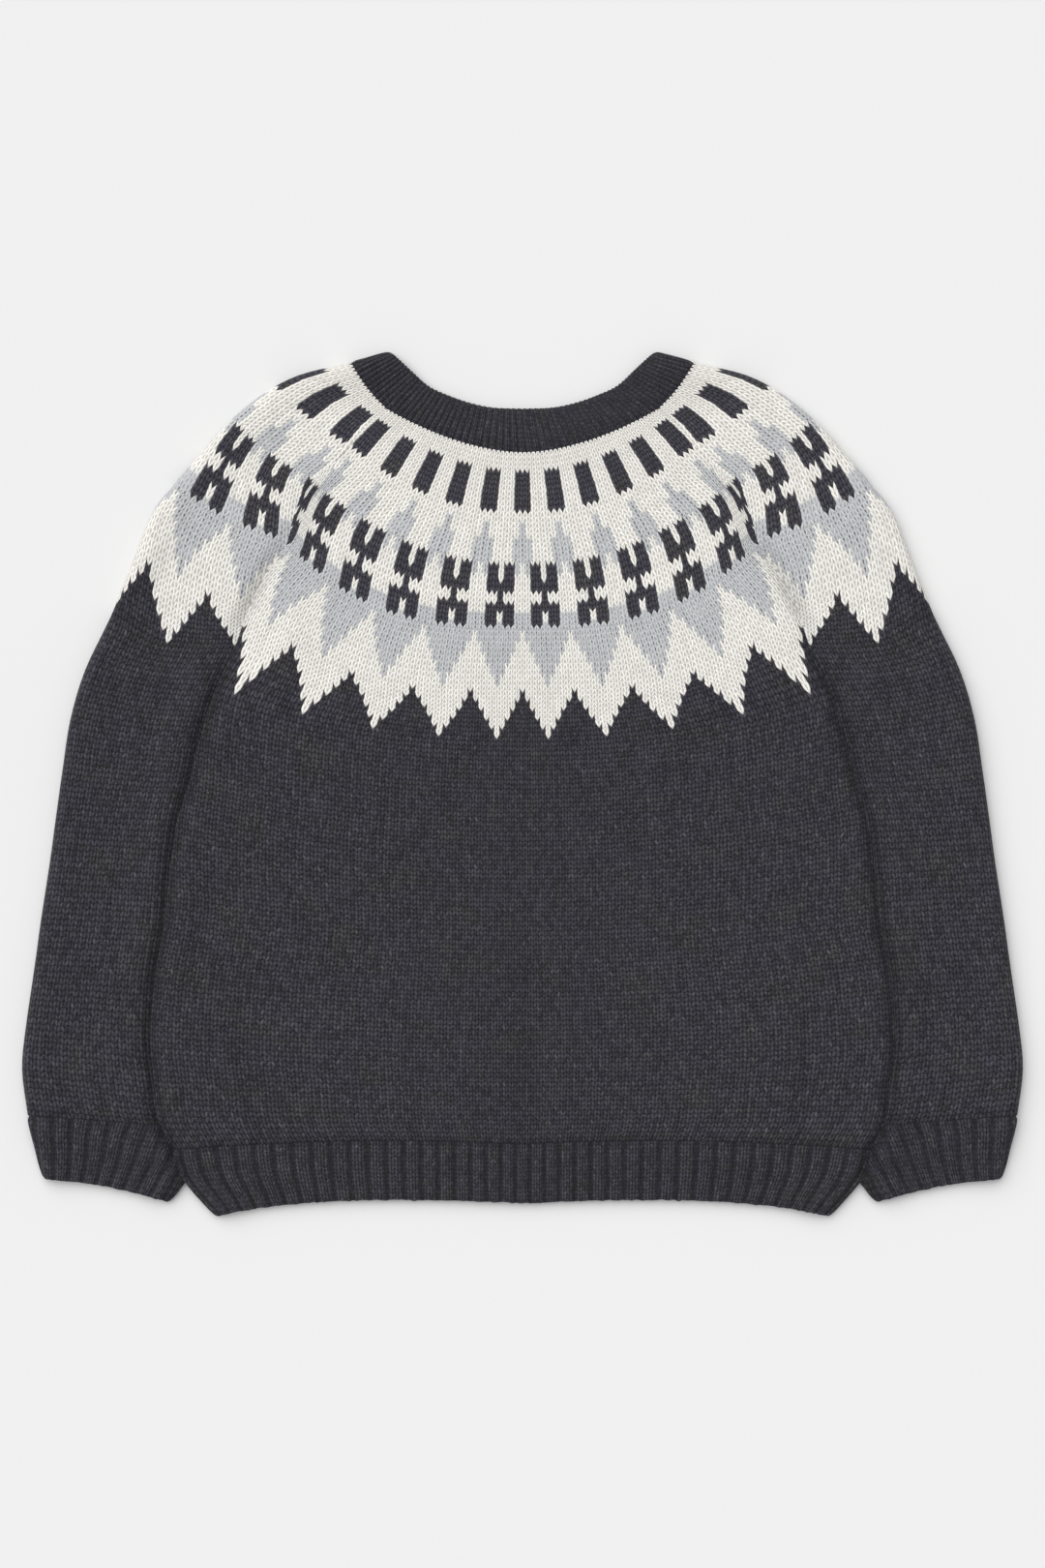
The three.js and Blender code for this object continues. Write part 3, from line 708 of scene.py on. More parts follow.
def edge_sink(distance):
    """How far a rounded open edge has sunk at a distance from it."""
    inward = np.clip(distance / ROUNDED_WIDTH, 0, 1)
    return EDGE_ROUNDING * (1 - np.sqrt(1 - (1 - inward) ** 2))


def welt_relief(ribs, distance, length):
    """Relief of a welt or band: its ribs, sunk beside its seam and its rounded open edge."""
    return ribs - edge_sink(length - distance) - welt_seam(distance)


def ragged(faces, shares, wave):
    """Moves the rows at the open edge out by a wave along it, in millimetres, and flattens them."""
    moved = []
    for places in faces:
        out = places[-1] - places[-2]
        out = out / np.linalg.norm(out, axis=1)[:, None]
        weight = smoothstep(shares, 0.8, 1.0)[:, None, None]
        places = places + weight * (wave[:, None] * out)[None]
        places[..., 2] *= 1 - EDGE_FLATTENING * smoothstep(shares, 0.2, 1.0)[:, None]
        moved.append(places)
    return moved


def knit_edge(count, seed):
    """An irregular wave along an open edge whose loops are some columns wide."""
    draw = np.random.default_rng(seed)
    rough = draw.normal(0, 1, count)
    return np.convolve(rough, np.hanning(7), "same") / 2


# Materials

# Painted shade: the tints that darken a yarn between its stitches, a rib's sunk wales, and the cloth
# in its creases.
CREAM_PAINTED_SHADE = (0.6, 0.59, 0.565, 1.0)
GREY_PAINTED_SHADE = (0.7, 0.7, 0.715, 1.0)
SLATE_PAINTED_SHADE = (0.28, 0.28, 0.31, 1.0)
RIB_PAINTED_SHADE = (0.24, 0.24, 0.27, 1.0)
HEM_GROOVE_PAINTED_SHADE = (0.56, 0.55, 0.58, 1.0)
CUFF_GROOVE_PAINTED_SHADE = (0.62, 0.61, 0.64, 1.0)
NECK_GROOVE_PAINTED_SHADE = (0.8, 0.79, 0.82, 1.0)
CREASE_PAINTED_SHADE = (0.42, 0.42, 0.44, 1.0)

OLIVE_TINT = (1.08, 1.06, 0.78, 1.0)
STRAND_BEHIND = (0.10, 0.10, 0.11, 1.0)  # dark yarn that is carried along behind the grey

# How many courses a stitch's arms rise, their half widths at their ends and in the middle, in
# courses, and how quickly they grow thin. The pale arms close up along each wale, and of the slate
# ones only the plump parts catch the light.
PALE_ARMS = (STITCH_LEAN, 0.2, 0.66, 0.3)
SLATE_ARMS = (0.85, 0.36, 0.52, 1.0)
RIB_ARMS = (0.8, 0.36, 0.6, 1.1)

# Soft noise that moves the stitches aside and along: two layers of it, how fine each one is, and
# how far it moves them, in wales and in courses.
UNEVEN_YARN = ((0.0, 7.0), (0.7, 0.5), (0.3, 0.4))
LOOSE_FIBRES = ((11.0, 15.0), (2.6, 2.6), (0.3, 0.35))


class Graph:
    """Short words for adding nodes to a tree."""

    def __init__(self, tree):
        self.tree = tree

    def node(self, kind, **settings):
        node = self.tree.nodes.new(kind)
        for name, value in settings.items():
            setattr(node, name, value)
        return node

    def feed(self, socket, value):
        if isinstance(value, bpy.types.NodeSocket):
            self.tree.links.new(value, socket)
        else:
            socket.default_value = value

    def math(self, operation, *values, clamp=False):
        node = self.node("ShaderNodeMath", operation=operation, use_clamp=clamp)
        for socket, value in zip(node.inputs, values):
            self.feed(socket, value)
        return node.outputs[0]

    def mix(self, factor, low, high, blend="MIX", kind="Color"):
        data = "RGBA" if kind == "Color" else "FLOAT"
        node = self.node("ShaderNodeMix", data_type=data, blend_type=blend)
        for name, value in (("Factor_Float", factor), ("A_" + kind, low), ("B_" + kind, high)):
            self.feed(next(s for s in node.inputs if s.identifier == name), value)
        return next(s for s in node.outputs if s.identifier == "Result_" + kind)

    def scale(self, value, low, high, to_low=0.0, to_high=1.0, soft=False):
        kind = "SMOOTHSTEP" if soft else "LINEAR"
        node = self.node("ShaderNodeMapRange", interpolation_type=kind)
        for socket, given in zip(node.inputs, (value, low, high, to_low, to_high)):
            self.feed(socket, given)
        return node.outputs[0]

    def vector(self, x, y, z=0.0):
        node = self.node("ShaderNodeCombineXYZ")
        for socket, value in zip(node.inputs, (x, y, z)):
            self.feed(socket, value)
        return node.outputs[0]

    def noise(self, vector, scale, detail=2.0):
        node = self.node("ShaderNodeTexNoise", noise_dimensions="3D")
        self.feed(node.inputs["Vector"], vector)
        node.inputs["Scale"].default_value = scale
        node.inputs["Detail"].default_value = detail
        return node.outputs["Fac"]

    def white_noise(self, vector):
        node = self.node("ShaderNodeTexWhiteNoise", noise_dimensions="3D")
        self.feed(node.inputs["Vector"], vector)
        return node.outputs["Value"]


def new_material(name):
    """A material with an empty tree, its graph, its shader, and the piece's knit map and painted
    shade.
    """
    material = bpy.data.materials.new(name)
    material.use_nodes = True
    graph = Graph(material.node_tree)
    graph.tree.nodes.clear()
    output = graph.node("ShaderNodeOutputMaterial")
    shader = graph.node("ShaderNodeBsdfPrincipled")
    graph.tree.links.new(shader.outputs[0], output.inputs["Surface"])
    knit = graph.node("ShaderNodeUVMap", uv_map=KNIT_MAP)
    parts = graph.node("ShaderNodeSeparateXYZ")
    graph.feed(parts.inputs[0], knit.outputs[0])
    painted_shade = graph.node("ShaderNodeAttribute", attribute_name=PAINTED_SHADE_MAP)
    return material, graph, shader, parts.outputs[0], parts.outputs[1], painted_shade.outputs["Fac"]


def stitch(graph, wale, course):
    """One stitch of stocking stitch: its wale and course as whole numbers, and how far a point
    lies from the stitch's middle line."""
    index = graph.math("ROUND", wale)
    away = graph.math("ABSOLUTE", graph.math("SUBTRACT", wale, index))
    beside = graph.math("SUBTRACT", away, 0.25)
    row = graph.math("FLOOR", graph.math("MULTIPLY_ADD", beside, STITCH_LEAN, course))
    return index, row, away


def arms(graph, away, course, rise, ends, middle, pinch):
    """How high the yarn of a stitch's two arms stands at a point, from 0 to 1."""
    beside = graph.math("SUBTRACT", away, 0.25)
    part = graph.math("FRACT", graph.math("MULTIPLY_ADD", beside, rise, course))
    off = graph.math("ABSOLUTE", graph.math("SUBTRACT", part, 0.5))
    plump = graph.math("SINE", graph.math("MULTIPLY", away, math.tau), clamp=True)
    width = graph.math("MULTIPLY_ADD", plump, middle - ends, ends)
    off = graph.math("DIVIDE", off, width)
    height = graph.math("MULTIPLY_ADD", graph.math("MULTIPLY", off, off), -1.0, 1.0, clamp=True)
    return graph.math("MULTIPLY", height, graph.math("POWER", plump, pinch))


def shifted(graph, wale, course, layers, fineness, shifts):
    """The stitches' places, moved a little by soft noise."""
    moved = []
    pairs = ((wale, course), (course, wale))
    for (place, other), layer, fine, shift in zip(pairs, layers, fineness, shifts):
        noise = graph.noise(graph.vector(place, other, layer), fine)
        moved.append(graph.math("MULTIPLY_ADD", graph.math("SUBTRACT", noise, 0.5), shift, place))
    return moved


def heathered(graph, colours, row, wale, course, lighter=0.0):
    """Charcoal yarn spun from dark, lighter and olive fibres, with flecks and pale hairs."""
    arm = graph.math("FLOOR", graph.math("MULTIPLY", wale, 2.0))
    own = graph.white_noise(graph.vector(arm, row, 3.0))
    fibre = graph.noise(graph.vector(graph.math("MULTIPLY", wale, 3.0), course), 2.2, 3.0)
    level = graph.math("MULTIPLY_ADD", own, 0.65, graph.math("MULTIPLY_ADD", fibre, 0.5, lighter))
    base = graph.mix(graph.scale(level, 0.08, 1.0), colours.slate_dark, colours.slate_light)
    broad = graph.noise(graph.vector(wale, course), 0.13)
    olive = graph.scale(broad, 0.48, 0.68, 0.0, 0.6, soft=True)
    base = graph.mix(olive, base, OLIVE_TINT, "MULTIPLY")
    fleck = graph.scale(graph.white_noise(graph.vector(arm, row, 9.0)), 0.95, 1.0, 0.0, 0.5)
    hairs = graph.noise(graph.vector(graph.math("MULTIPLY", wale, 1.4), course, 21.0), 3.4, 1.0)
    hairs = graph.scale(hairs, 0.56, 0.76, 0.0, 0.75)
    return graph.mix(graph.math("MAXIMUM", fleck, hairs), base, colours.fleck)


def with_painted_shade(graph, colour, height, painted_shade):
    """The colour, with shade painted in by the tint where the yarn stands low."""
    return graph.mix(graph.scale(height, 0.0, 0.7, 1.0, 0.0), colour, painted_shade, "MULTIPLY")


def finish_wool(context, graph, shader, colour, painted_shade, height):
    """Matt wool with a little bloom, with shade painted in the hollows of the cloth, its stitches
    raised.
    """
    # the cloth darkened by the shade painted in its creases
    graph.feed(shader.inputs["Base Color"], graph.mix(painted_shade, colour, CREASE_PAINTED_SHADE, "MULTIPLY"))
    shader.inputs["Roughness"].default_value = 0.92
    shader.inputs["Specular IOR Level"].default_value = 0.18
    shader.inputs["Sheen Weight"].default_value = 0.06
    shader.inputs["Sheen Roughness"].default_value = 0.5
    bump = graph.node("ShaderNodeBump")
    bump.inputs["Strength"].default_value = 1.0
    bump.inputs["Distance"].default_value = context.scene.jumper_cloth.stitch_relief
    graph.feed(bump.inputs["Height"], height)
    graph.feed(shader.inputs["Normal"], bump.outputs[0])


def chart_ramp(graph, course, yarns, begins):
    """The yarns down one line of the chart, as red for cream, green for grey, blue for slate."""
    node = graph.node("ShaderNodeValToRGB")
    ramp = node.color_ramp
    ramp.interpolation = "CONSTANT"
    while len(ramp.elements) > 1:
        ramp.elements.remove(ramp.elements[-1])
    for number, (yarn, row) in enumerate(zip(yarns, begins)):
        place = (row + 1) / CHART_COURSES
        element = ramp.elements[0] if number == 0 else ramp.elements.new(place)
        element.position = place
        element.color = YARNS[yarn]
    graph.feed(node.inputs[0], course)
    return node.outputs[0]


def charted(graph, index, row, repeat):
    """Which yarn the chart gives a stitch, as shares of cream, grey and slate."""
    off_axis = graph.math("PINGPONG", index, graph.math("MULTIPLY", repeat, 0.5))
    place = graph.math("DIVIDE", graph.math("ADD", row, 1.5), float(CHART_COURSES), clamp=True)
    chosen = chart_ramp(graph, place, *CHART[0])
    for stitches, line in enumerate(CHART[1:], 1):
        here = graph.math("GREATER_THAN", off_axis, stitches - 0.5)
        chosen = graph.mix(here, chosen, chart_ramp(graph, place, *line))
    parts = graph.node("ShaderNodeSeparateColor")
    graph.feed(parts.inputs[0], chosen)
    return parts.outputs


def wales_at(graph, course):
    """Wales in a repeat, two more in each zone of the yoke."""
    reach = STITCH_LEAN / 4
    second = graph.math("GREATER_THAN", course, SECOND_ZONE - reach)
    third = graph.math("GREATER_THAN", course, THIRD_ZONE - reach)
    return graph.math("MULTIPLY_ADD", graph.math("ADD", second, third), 2.0, 6.0)


def strand_behind(graph, index, row, wale, course, height, away):
    """How much of the carried yarn shows between the grey stitches, in some places only."""
    own = graph.white_noise(graph.vector(index, row, 5.0))
    own = graph.math("ADD", own, graph.noise(graph.vector(wale, course, 4.0), 0.2))
    low, middle = graph.scale(height, 0.1, 0.6, 1.0, 0.0), graph.scale(away, 0.08, 0.2, 1.0, 0.0)
    between = graph.math("MULTIPLY", low, middle)
    return graph.math("MULTIPLY", graph.scale(own, 0.8, 1.1, 0.0, 0.85), between)


def knit_material(context, name):
    """Stocking stitch in three yarns, charted over the yoke."""
    colours = context.scene.jumper_yarns
    material, graph, shader, across, course, painted_shade = new_material(name)
    repeat = wales_at(graph, course)
    wale = graph.math("MULTIPLY", across, repeat)
    wale, course = shifted(graph, wale, course, *UNEVEN_YARN)
    index, row, away = stitch(graph, wale, course)
    _, grey, slate = charted(graph, index, row, repeat)
    height = arms(graph, away, course, *PALE_ARMS)
    own = graph.white_noise(graph.vector(index, row, 1.0))
    fuzz = graph.noise(graph.vector(wale, course), 1.4, 3.0)
    full = graph.scale(graph.math("MULTIPLY_ADD", own, 0.4, fuzz), 0.4, 1.0)
    pale = graph.mix(full, colours.cream_shade, colours.cream)
    # shade painted between the cream stitches
    pale = with_painted_shade(graph, pale, height, CREAM_PAINTED_SHADE)
    mid = graph.mix(full, colours.grey_shade, colours.grey)
    # shade painted between the grey stitches
    mid = with_painted_shade(graph, mid, height, GREY_PAINTED_SHADE)
    strand = strand_behind(graph, index, row, wale, course, height, away)
    mid = graph.mix(strand, mid, STRAND_BEHIND)
    loose_wale, loose_course = shifted(graph, wale, course, *LOOSE_FIBRES)
    loose_away = graph.math("ABSOLUTE", graph.math("SUBTRACT", loose_wale, index))
    sunk = arms(graph, loose_away, loose_course, *SLATE_ARMS)
    lighter = graph.scale(course, 34.0, 46.0, 0.38, 0.0)
    dark = heathered(graph, colours, row, wale, course, lighter)
    # shade painted between the slate stitches
    dark = with_painted_shade(graph, dark, sunk, SLATE_PAINTED_SHADE)
    colour = graph.mix(slate, graph.mix(grey, pale, mid), dark)
    height = graph.mix(slate, height, sunk, kind="Float")
    finish_wool(context, graph, shader, colour, painted_shade, height)
    return material


def rib_material(context, name, wales, groove, stagger):
    """Heathered rib whose sunk wales lie dark between the raised ones, in shade painted by the
    groove tint. Stagger is how many courses the stitches of one wale lie past those of the next, at
    most."""
    material, graph, shader, across, course, painted_shade = new_material(name)
    wale = graph.math("ADD", across, 0.5)
    own = graph.white_noise(graph.vector(graph.math("ROUND", wale), 2.0))
    course = graph.math("MULTIPLY_ADD", own, stagger, course)
    wale, course = shifted(graph, wale, course, *LOOSE_FIBRES)
    _, row, away = stitch(graph, wale, course)
    height = arms(graph, away, course, *RIB_ARMS)
    colour = heathered(graph, context.scene.jumper_yarns, row, wale, course)
    # shade painted between the rib's stitches
    colour = with_painted_shade(graph, colour, height, RIB_PAINTED_SHADE)
    part = graph.math("FRACT", graph.math("DIVIDE", across, float(wales)))
    beside = graph.math("ABSOLUTE", graph.math("SUBTRACT", part, 0.25))
    sunk = graph.scale(beside, 0.23, 0.36, soft=True)
    # shade painted over the sunk wales
    colour = graph.mix(sunk, colour, groove, "MULTIPLY")
    height = graph.math("MULTIPLY", height, graph.math("MULTIPLY_ADD", sunk, -0.6, 1.0))
    finish_wool(context, graph, shader, colour, painted_shade, height)
    return material


def add_piece(context, node, ending, faces, knit, look, cut, rests_on=(), **form):
    """Adds the piece of cloth that stands for a node with its material, and hides the node's solid.
    Its slot and its cut are not used.
    """
    piece = knit_piece(context, node + "_" + ending, faces, knit, **form)
    material, slot = look
    piece.data.materials.append(material)
    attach(piece, "root")
    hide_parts(node)


# Settings

def colour_setting(name, description, default):
    return bpy.props.FloatVectorProperty(
        name=name, description=description, default=default, subtype="COLOR", size=4, min=0, max=1
    )


def length_setting(name, description, default):
    return bpy.props.FloatProperty(
        name=name, description=description, default=default, unit="LENGTH"
    )


class JumperYarns(bpy.types.PropertyGroup):
    """Colours of the yarns."""

    cream: colour_setting("Cream", "The lightest yarn", (0.895, 0.878, 0.832, 1.0))
    cream_shade: colour_setting("Cream shade", "Its duller stitches", (0.76, 0.745, 0.70, 1.0))
    grey: colour_setting("Grey", "The pale grey yarn", (0.565, 0.576, 0.588, 1.0))
    grey_shade: colour_setting("Grey shade", "Its duller stitches", (0.49, 0.501, 0.513, 1.0))
    slate_dark: colour_setting("Slate", "The darkest fibres", (0.0214, 0.0205, 0.0272, 1.0))
    slate_light: colour_setting("Slate light", "The lighter fibres", (0.065, 0.0627, 0.0775, 1.0))
    fleck: colour_setting("Fleck", "Flecks in the slate yarn", (0.125, 0.123, 0.14, 1.0))


class JumperCloth(bpy.types.PropertyGroup):
    """Sizes of the cloth."""

    thickness: length_setting("Thickness", "How thick the knit is", 0.0022)
    wale_depth: length_setting("Wale depth", "Half the depth between two wales", 0.00016)
    rib_rise: length_setting("Rib rise", "How far a rib's crest stands out", 0.0009)
    stitch_relief: length_setting("Stitch relief", "Depth of the stitches in the bump", 0.00035)


class JumperStage(bpy.types.PropertyGroup):
    """The floor, the light and the camera."""

    floor_colour: colour_setting("Floor", "The pale floor", (0.758, 0.758, 0.758, 1.0))
    floor_width: length_setting("Floor width", "How wide the floor is", 6.0)
    camera_height: length_setting("Camera height", "Height of the camera", 1.7283)
    lamp_power: bpy.props.FloatProperty(
        name="Lamp power", description="Strength of the soft lamp", default=2.82
    )
    room_light: bpy.props.FloatProperty(
        name="Room light", description="Strength of the light from all round", default=0.42
    )


# Operators

class JUMPER_OT_body(bpy.types.Operator):
    """Add the front and back panels, patterned over the yoke"""

    bl_idname = "jumper.body"
    bl_label = "Add Body Panels"

    def execute(self, context):
        cloth = context.scene.jumper_cloth
        look = knit_material(context, "body_knit"), "body_knit"
        rows = section_rows(BODY_SECTIONS)
        courses = smooth_rows(BODY_SECTIONS, rows)[5]
        lines = body_lines(BODY_SECTIONS, rows)
        to_welt = (courses[-1] - courses)[:, None] * COURSE_HEIGHT
        edge = by_course(BODY_REPEATS, courses) + by_course(SQUEEZED_REPEATS, courses)
        last = round(BODY_EDGE_REPEATS * COLUMNS_IN_REPEAT)
        for name, facing, sparing in (("front", 1, 1), ("back", -1, 2)):
            columns = np.arange(-last, last + 1, sparing) / COLUMNS_IN_REPEAT
            repeats = gathered(columns, -FIXED_BODY_REPEATS, FIXED_BODY_REPEATS, -edge, edge)
            way = panel_way(lines, turn_at(rows), dip_at(rows), facing)
            girth = body_girths(repeats, courses, run_along(*way)[:, -1])
            depth = cloth.wale_depth / MM / sparing

            def relief(x, y, up):
                rise = wale_relief(repeats, courses, depth, x, y, up)
                return rise - (0 if facing > 0 else depth)

            faces = lay_cloth(lines, way, girth, facing, cloth.thickness / MM, relief)
            s = places_along(way, girth)
            # shade painted beside the folded sides, along the welt's line and in the laid creases
            side = side_shade(np.minimum(s, lines["length"] - s), side_shade_at(rows))
            painted_shade = darkest(side, welt_shade(to_welt), laid_shade(*along(lines, s)))
            aside = smoothstep(np.abs(repeats) / edge[:, None], 0.1, 0.7)
            tilt = by_course(COURSE_TILT, courses)[:, None] * aside
            knit = knit_places(repeats, courses[:, None] + tilt, painted_shade)
            under = ["back_panel"] if facing > 0 else []
            cut = BODY_FLAT, BODY_AREA
            add_piece(context, name, "panel", faces, knit, look, cut, under, outwards=facing > 0)
        return {"FINISHED"}


class JUMPER_OT_sleeves(bpy.types.Operator):
    """Add the two sleeves, each one panel wrapped round the arm"""

    bl_idname = "jumper.sleeves"
    bl_label = "Add Sleeves"

    def execute(self, context):
        cloth = context.scene.jumper_cloth
        look = knit_material(context, "sleeve_knit"), "sleeve_knit"
        rows = section_rows(SLEEVE_SECTIONS)
        courses = smooth_rows(SLEEVE_SECTIONS, rows)[4]
        lines, body_row = sleeve_lines(rows)
        way = tube_way(lines, turn_at(body_row), dip_at(body_row))
        to_welt = (courses[-1] - courses)[:, None] * COURSE_HEIGHT
        inner, outer = by_course(SLEEVE_INNER, courses), by_course(SLEEVE_OUTER, courses)
        first, last = (round(edge * COLUMNS_IN_REPEAT) for edge in SLEEVE_EDGE_REPEATS)
        columns = np.arange(first, last + 1) / COLUMNS_IN_REPEAT
        repeats = gathered(columns, *FIXED_SLEEVE_REPEATS, inner, 2 * outer - inner)
        knots = zip(inner, outer, folds_out_at(way), run_along(*way)[:, -1])
        girth = np.array([
            np.interp(wanted, (low, high, 2 * high - low), (0, fold, full))
            for wanted, (low, high, fold, full) in zip(repeats, knots)
        ])
        depth = cloth.wale_depth / MM

        def relief(x, y, up):
            return wale_relief(repeats, courses, depth, x, y, up) - depth * np.clip(-up, 0, 1)

        faces = lay_cloth(lines, way, girth, 1, cloth.thickness / MM, relief)
        s = places_along(way, girth)
        # shade painted beside the sleeve's inner edge, along the welt's line and in the laid creases
        side = side_shade(s, side_shade_at(body_row))
        painted_shade = darkest(side, welt_shade(to_welt), laid_shade(*along(lines, s)))
        outwards = 1 - np.abs(outer[:, None] - repeats) / (outer - inner)[:, None]
        tilt = by_course(OUTLINE_TILT, courses)[:, None] * smoothstep(outwards, 0.5, 1.0)
        knit = knit_places(repeats, courses[:, None] + tilt, painted_shade)
        for side in ("right", "left"):
            name, cut = "sleeve_" + side, (SLEEVE_FLAT, SLEEVE_AREA)
            add_piece(context, name, "panel", faces, knit, look, cut, mirrored=side == "left")
        return {"FINISHED"}


class JUMPER_OT_hem(bpy.types.Operator):
    """Add the front and back of the hem welt in two-and-two rib"""

    bl_idname = "jumper.hem"
    bl_label = "Add Hem Welt"

    def execute(self, context):
        cloth = context.scene.jumper_cloth
        look = rib_material(context, "welt_rib", WELT_WALES, HEM_GROOVE_PAINTED_SHADE, stagger=0.3), "welt_rib"
        rows = WELT_ROWS * (len(HEM_SECTIONS) - 1)
        courses = smooth_rows(HEM_SECTIONS, rows)[5]
        lines = body_lines(HEM_SECTIONS, rows)
        length = HEM_SECTIONS[0, 0] - HEM_SECTIONS[-1, 0]
        distance = (WELT_ROWS * length)[:, None]
        ribs = np.linspace(-HEM_RIBS / 2, HEM_RIBS / 2, HEM_RIBS * HEM_COLUMNS_IN_RIB + 1)
        phase = np.repeat(ribs[None, :] + CREST / 2, len(rows), 0)
        rise = cloth.rib_rise / MM
        raised = rib_relief(phase, rise) * smoothstep(distance, *RIBS_BEGIN)
        raised = welt_relief(raised, distance, length)
        for name, facing in (("hem_front", 1), ("hem_back", -1)):
            way = panel_way(lines, np.ones(len(rows)), np.zeros(len(rows)), facing)
            full = run_along(*way)[:, -1:]
            girth = full / 2 * (1 + splayed(ribs / (HEM_RIBS / 2), full / full[0]))

            def relief(x, y, up):
                laid = np.clip(up, 0, 1) * soft_hills(CREASES, x, y)
                return raised + laid - (0 if facing > 0 else rise)

            faces = lay_cloth(lines, way, girth, facing, cloth.thickness / MM, relief)
            faces = ragged(faces, WELT_ROWS, HEM_LOOPS * knit_edge(len(ribs), seed=11))
            s = places_along(way, girth)
            # shade painted beside the folded sides down half the welt, and along the welt's line
            upper_half = np.where(distance < length / 2, 1.0, 0.0)
            side = side_shade(np.minimum(s, lines["length"] - s), upper_half)
            painted_shade = darkest(side, welt_shade(distance))
            knit = knit_places(wale_count(phase, WELT_WALES), courses[:, None], painted_shade)
            under, cut = ["hem_back_welt"] if facing > 0 else [], (HEM_FLAT, None)
            add_piece(context, name, "welt", faces, knit, look, cut, under, outwards=facing > 0)
        return {"FINISHED"}


class JUMPER_OT_cuffs(bpy.types.Operator):
    """Add the cuff welt of each sleeve in two-and-two rib"""

    bl_idname = "jumper.cuffs"
    bl_label = "Add Cuffs"

    def execute(self, context):
        cloth = context.scene.jumper_cloth
        look = rib_material(context, "cuff_rib", WELT_WALES, CUFF_GROOVE_PAINTED_SHADE, stagger=0.3), "welt_rib"
        rows = WELT_ROWS * (len(CUFF_SECTIONS) - 1)
        *ends_and_sag, courses = smooth_rows(CUFF_SECTIONS, rows)
        lines = hanging_lines(*ends_and_sag)
        way = tube_way(lines, np.ones(len(rows)), np.zeros(len(rows)))
        girth = np.linspace(0, 1, CUFF_COLUMNS)[None, :] * run_along(*way)[:, -1:]
        rib_width = np.interp(WELT_ROWS, (0, 1), CUFF_RIB_WIDTHS)[:, None]
        fold_phase = np.interp(WELT_ROWS, (0, 1), CUFF_FOLD_PHASE)[:, None]
        phase = (girth - folds_out_at(way)[:, None]) / rib_width + fold_phase
        phase = phase + CUFF_FIRST_RIB + (1 + CREST) / 2
        rise = cloth.rib_rise / MM
        length = CUFF_SECTIONS[0, 3] - CUFF_SECTIONS[-1, 3]
        distance = (WELT_ROWS * length)[:, None]
        raised = rib_relief(phase, rise) * smoothstep(distance, *RIBS_BEGIN)
        raised = welt_relief(raised, distance, length)

        def relief(x, y, up):
            return raised - rise * np.clip(-up, 0, 1)

        faces = lay_cloth(lines, way, girth, 1, cloth.thickness / MM, relief)
        faces = ragged(faces, WELT_ROWS, CUFF_LOOPS * knit_edge(CUFF_COLUMNS, seed=12))
        # shade painted beside the cuff's inner edge and along the welt's line
        painted_shade = darkest(side_shade(places_along(way, girth), 1.0), welt_shade(distance))
        knit = knit_places(wale_count(phase, WELT_WALES), courses[:, None], painted_shade)
        for side in ("right", "left"):
            name, cut = "cuff_" + side, (CUFF_FLAT, None)
            add_piece(context, name, "welt", faces, knit, look, cut, mirrored=side == "left")
        return {"FINISHED"}


class JUMPER_OT_neckband(bpy.types.Operator):
    """Add the neckband, one ring of fine one-and-one rib"""

    bl_idname = "jumper.neckband"
    bl_label = "Add Neckband"

    def execute(self, context):
        cloth = context.scene.jumper_cloth
        look = rib_material(context, "neck_rib", NECK_WALES, NECK_GROOVE_PAINTED_SHADE, stagger=1.0), "neck_rib"
        lines = neck_lines(NECK_ROWS)
        way = neck_way(lines)
        share = np.linspace(0, 1, NECK_RIBS * NECK_COLUMNS_IN_RIB + 1)
        girth = share[None, :] * run_along(*way)[:, -1:]
        spread = NECK_SPREAD / (2 * math.tau) * np.sin(2 * math.tau * (share - 0.25))
        phase = (NECK_RIBS * (share - spread) + CREST / 2)[None, :]
        rise = cloth.rib_rise / MM * NECK_RISE
        width = NECK_EDGE[0, 1] - BODY_SECTIONS[0, 0]
        distance = (NECK_ROWS * width)[:, None]
        raised = welt_relief(rib_relief(phase, rise), distance, width)

        def relief(x, y, up):
            return raised - rise * np.clip(-up, 0, 1)

        faces = lay_cloth(lines, way, girth, 1, cloth.thickness / MM, relief)
        loops = NECK_LOOPS * np.cos(math.tau * (phase[0] - CREST / 2))
        faces = [face[::-1] for face in ragged(faces, NECK_ROWS, loops)]
        courses = (NECK_ROWS[::-1] * NECK_COURSES)[:, None]
        knit = knit_places(wale_count(phase, NECK_WALES), courses, 0.0)
        cut = NECK_FLAT, None
        add_piece(context, "neckband", "rib", faces, knit, look, cut, ring=True)
        return {"FINISHED"}


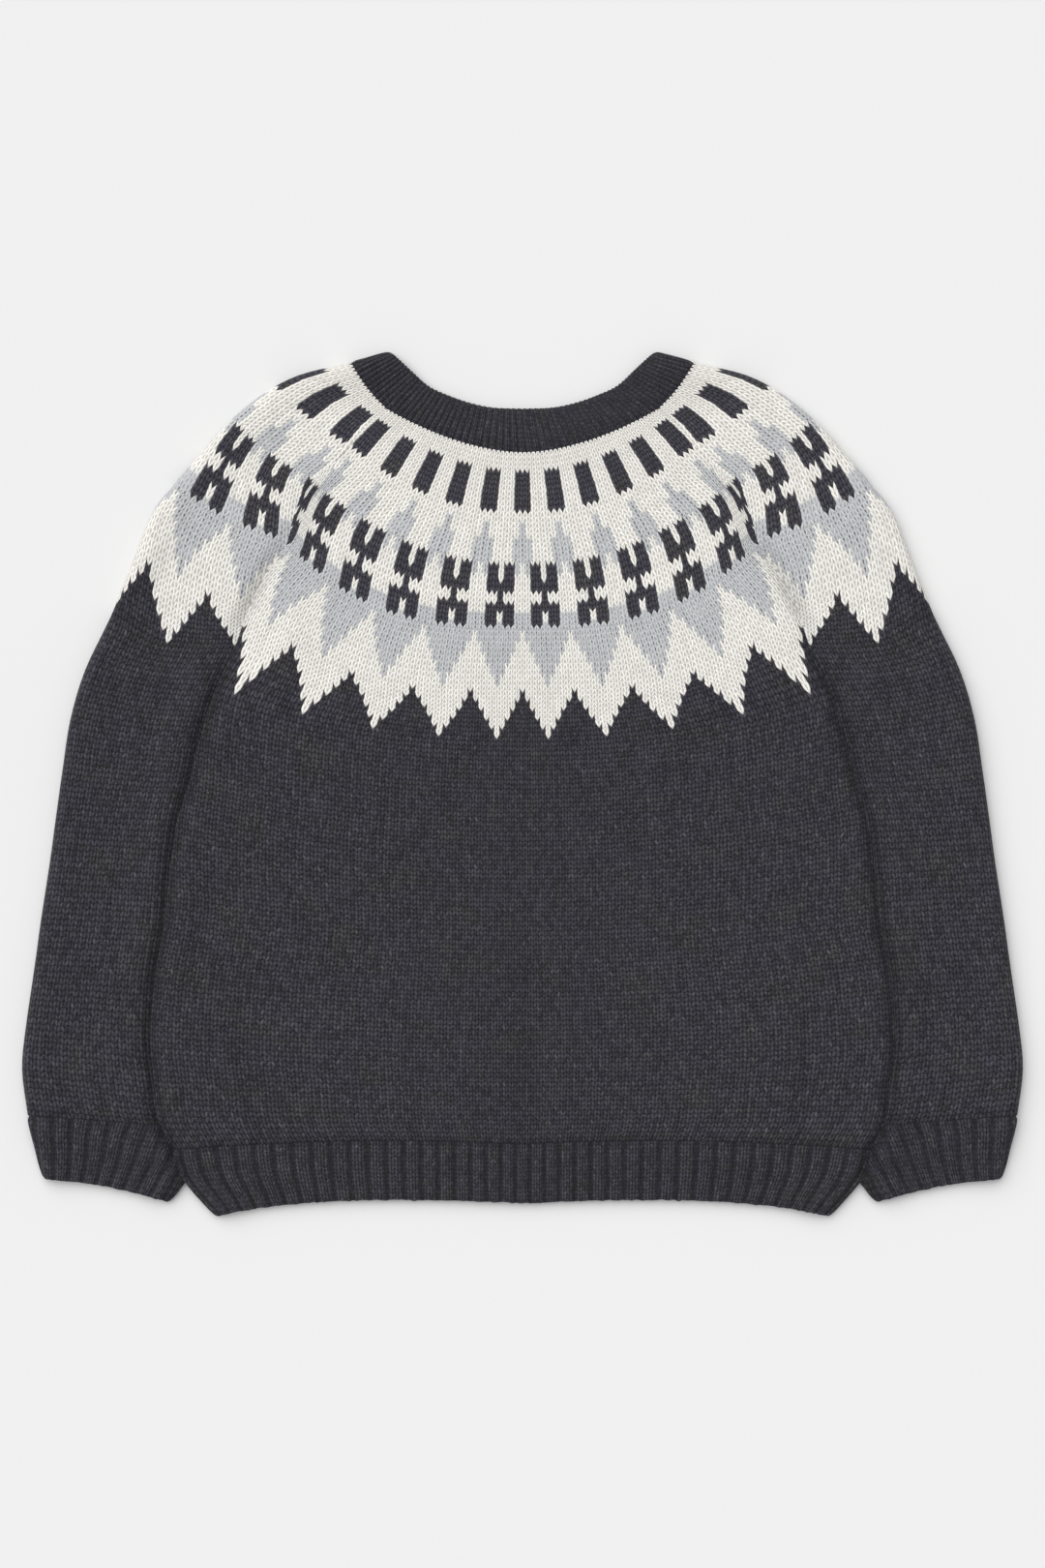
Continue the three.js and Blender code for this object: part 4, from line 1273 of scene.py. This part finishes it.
class JUMPER_OT_stage(bpy.types.Operator):
    """Add the pale floor, the soft light and the camera straight above"""

    bl_idname = "jumper.stage"
    bl_label = "Add Stage"

    def execute(self, context):
        stage = context.scene.jumper_stage
        self.add_floor(context, stage)
        self.add_light(context, stage)
        data = bpy.data.cameras.new("camera")
        data.lens = 85
        data.sensor_width = 36
        data.clip_end = 20
        camera = bpy.data.objects.new("camera", data)
        camera.location = (0, 0, stage.camera_height)
        context.collection.objects.link(camera)
        context.scene.camera = camera
        context.scene.view_settings.view_transform = "Standard"
        return {"FINISHED"}

    def add_floor(self, context, stage):
        bm = bmesh.new()
        bmesh.ops.create_grid(bm, x_segments=1, y_segments=1, size=stage.floor_width / 2)
        bmesh.ops.translate(bm, verts=bm.verts, vec=(0, 0, -FLOOR_DROP))
        mesh = bpy.data.meshes.new("floor")
        bm.to_mesh(mesh)
        bm.free()
        material = bpy.data.materials.new("floor")
        material.use_nodes = True
        shader = material.node_tree.nodes["Principled BSDF"]
        shader.inputs["Base Color"].default_value = stage.floor_colour
        shader.inputs["Roughness"].default_value = 1.0
        shader.inputs["Specular IOR Level"].default_value = 0.0
        mesh.materials.append(material)
        floor = bpy.data.objects.new("floor", mesh)
        context.collection.objects.link(floor)

    def add_light(self, context, stage):
        world = bpy.data.worlds.new("room")
        world.use_nodes = True
        background = world.node_tree.nodes["Background"]
        background.inputs["Color"].default_value = (1, 1, 1, 1)
        background.inputs["Strength"].default_value = stage.room_light
        context.scene.world = world
        data = bpy.data.lights.new("soft lamp", "SUN")
        data.angle = math.radians(LAMP_SPREAD)
        data.energy = stage.lamp_power
        lamp = bpy.data.objects.new("soft lamp", data)
        lamp.location = (0, 1, 2)
        lamp.rotation_euler = [math.radians(turn) for turn in LAMP_TURN]
        context.collection.objects.link(lamp)


class JUMPER_PT_pieces(bpy.types.Panel):
    """The jumper's pieces, in the order in which they are added"""

    bl_label = "Jumper"
    bl_space_type = "VIEW_3D"
    bl_region_type = "UI"
    bl_category = "Jumper"

    def draw(self, context):
        for operator in OPERATORS:
            self.layout.operator(operator.bl_idname)
        for group in (getattr(context.scene, name) for name in SETTINGS):
            for name in group.__annotations__:
                self.layout.prop(group, name)


SETTINGS = {"jumper_yarns": JumperYarns, "jumper_cloth": JumperCloth, "jumper_stage": JumperStage}
OPERATORS = (
    JUMPER_OT_body,
    JUMPER_OT_sleeves,
    JUMPER_OT_neckband,
    JUMPER_OT_hem,
    JUMPER_OT_cuffs,
    JUMPER_OT_stage,
)


def register():
    for cls in (*SETTINGS.values(), *OPERATORS, JUMPER_PT_pieces):
        bpy.utils.register_class(cls)
    for name, group in SETTINGS.items():
        setattr(bpy.types.Scene, name, bpy.props.PointerProperty(type=group))


def unregister():
    for name in SETTINGS:
        delattr(bpy.types.Scene, name)
    for cls in reversed((*SETTINGS.values(), *OPERATORS, JUMPER_PT_pieces)):
        bpy.utils.unregister_class(cls)


def main():
    """Adds every piece."""
    register()
    bpy.ops.jumper.body()
    bpy.ops.jumper.sleeves()
    bpy.ops.jumper.neckband()
    bpy.ops.jumper.hem()
    bpy.ops.jumper.cuffs()
    bpy.ops.jumper.stage()


if __name__ == "__main__":
    main()
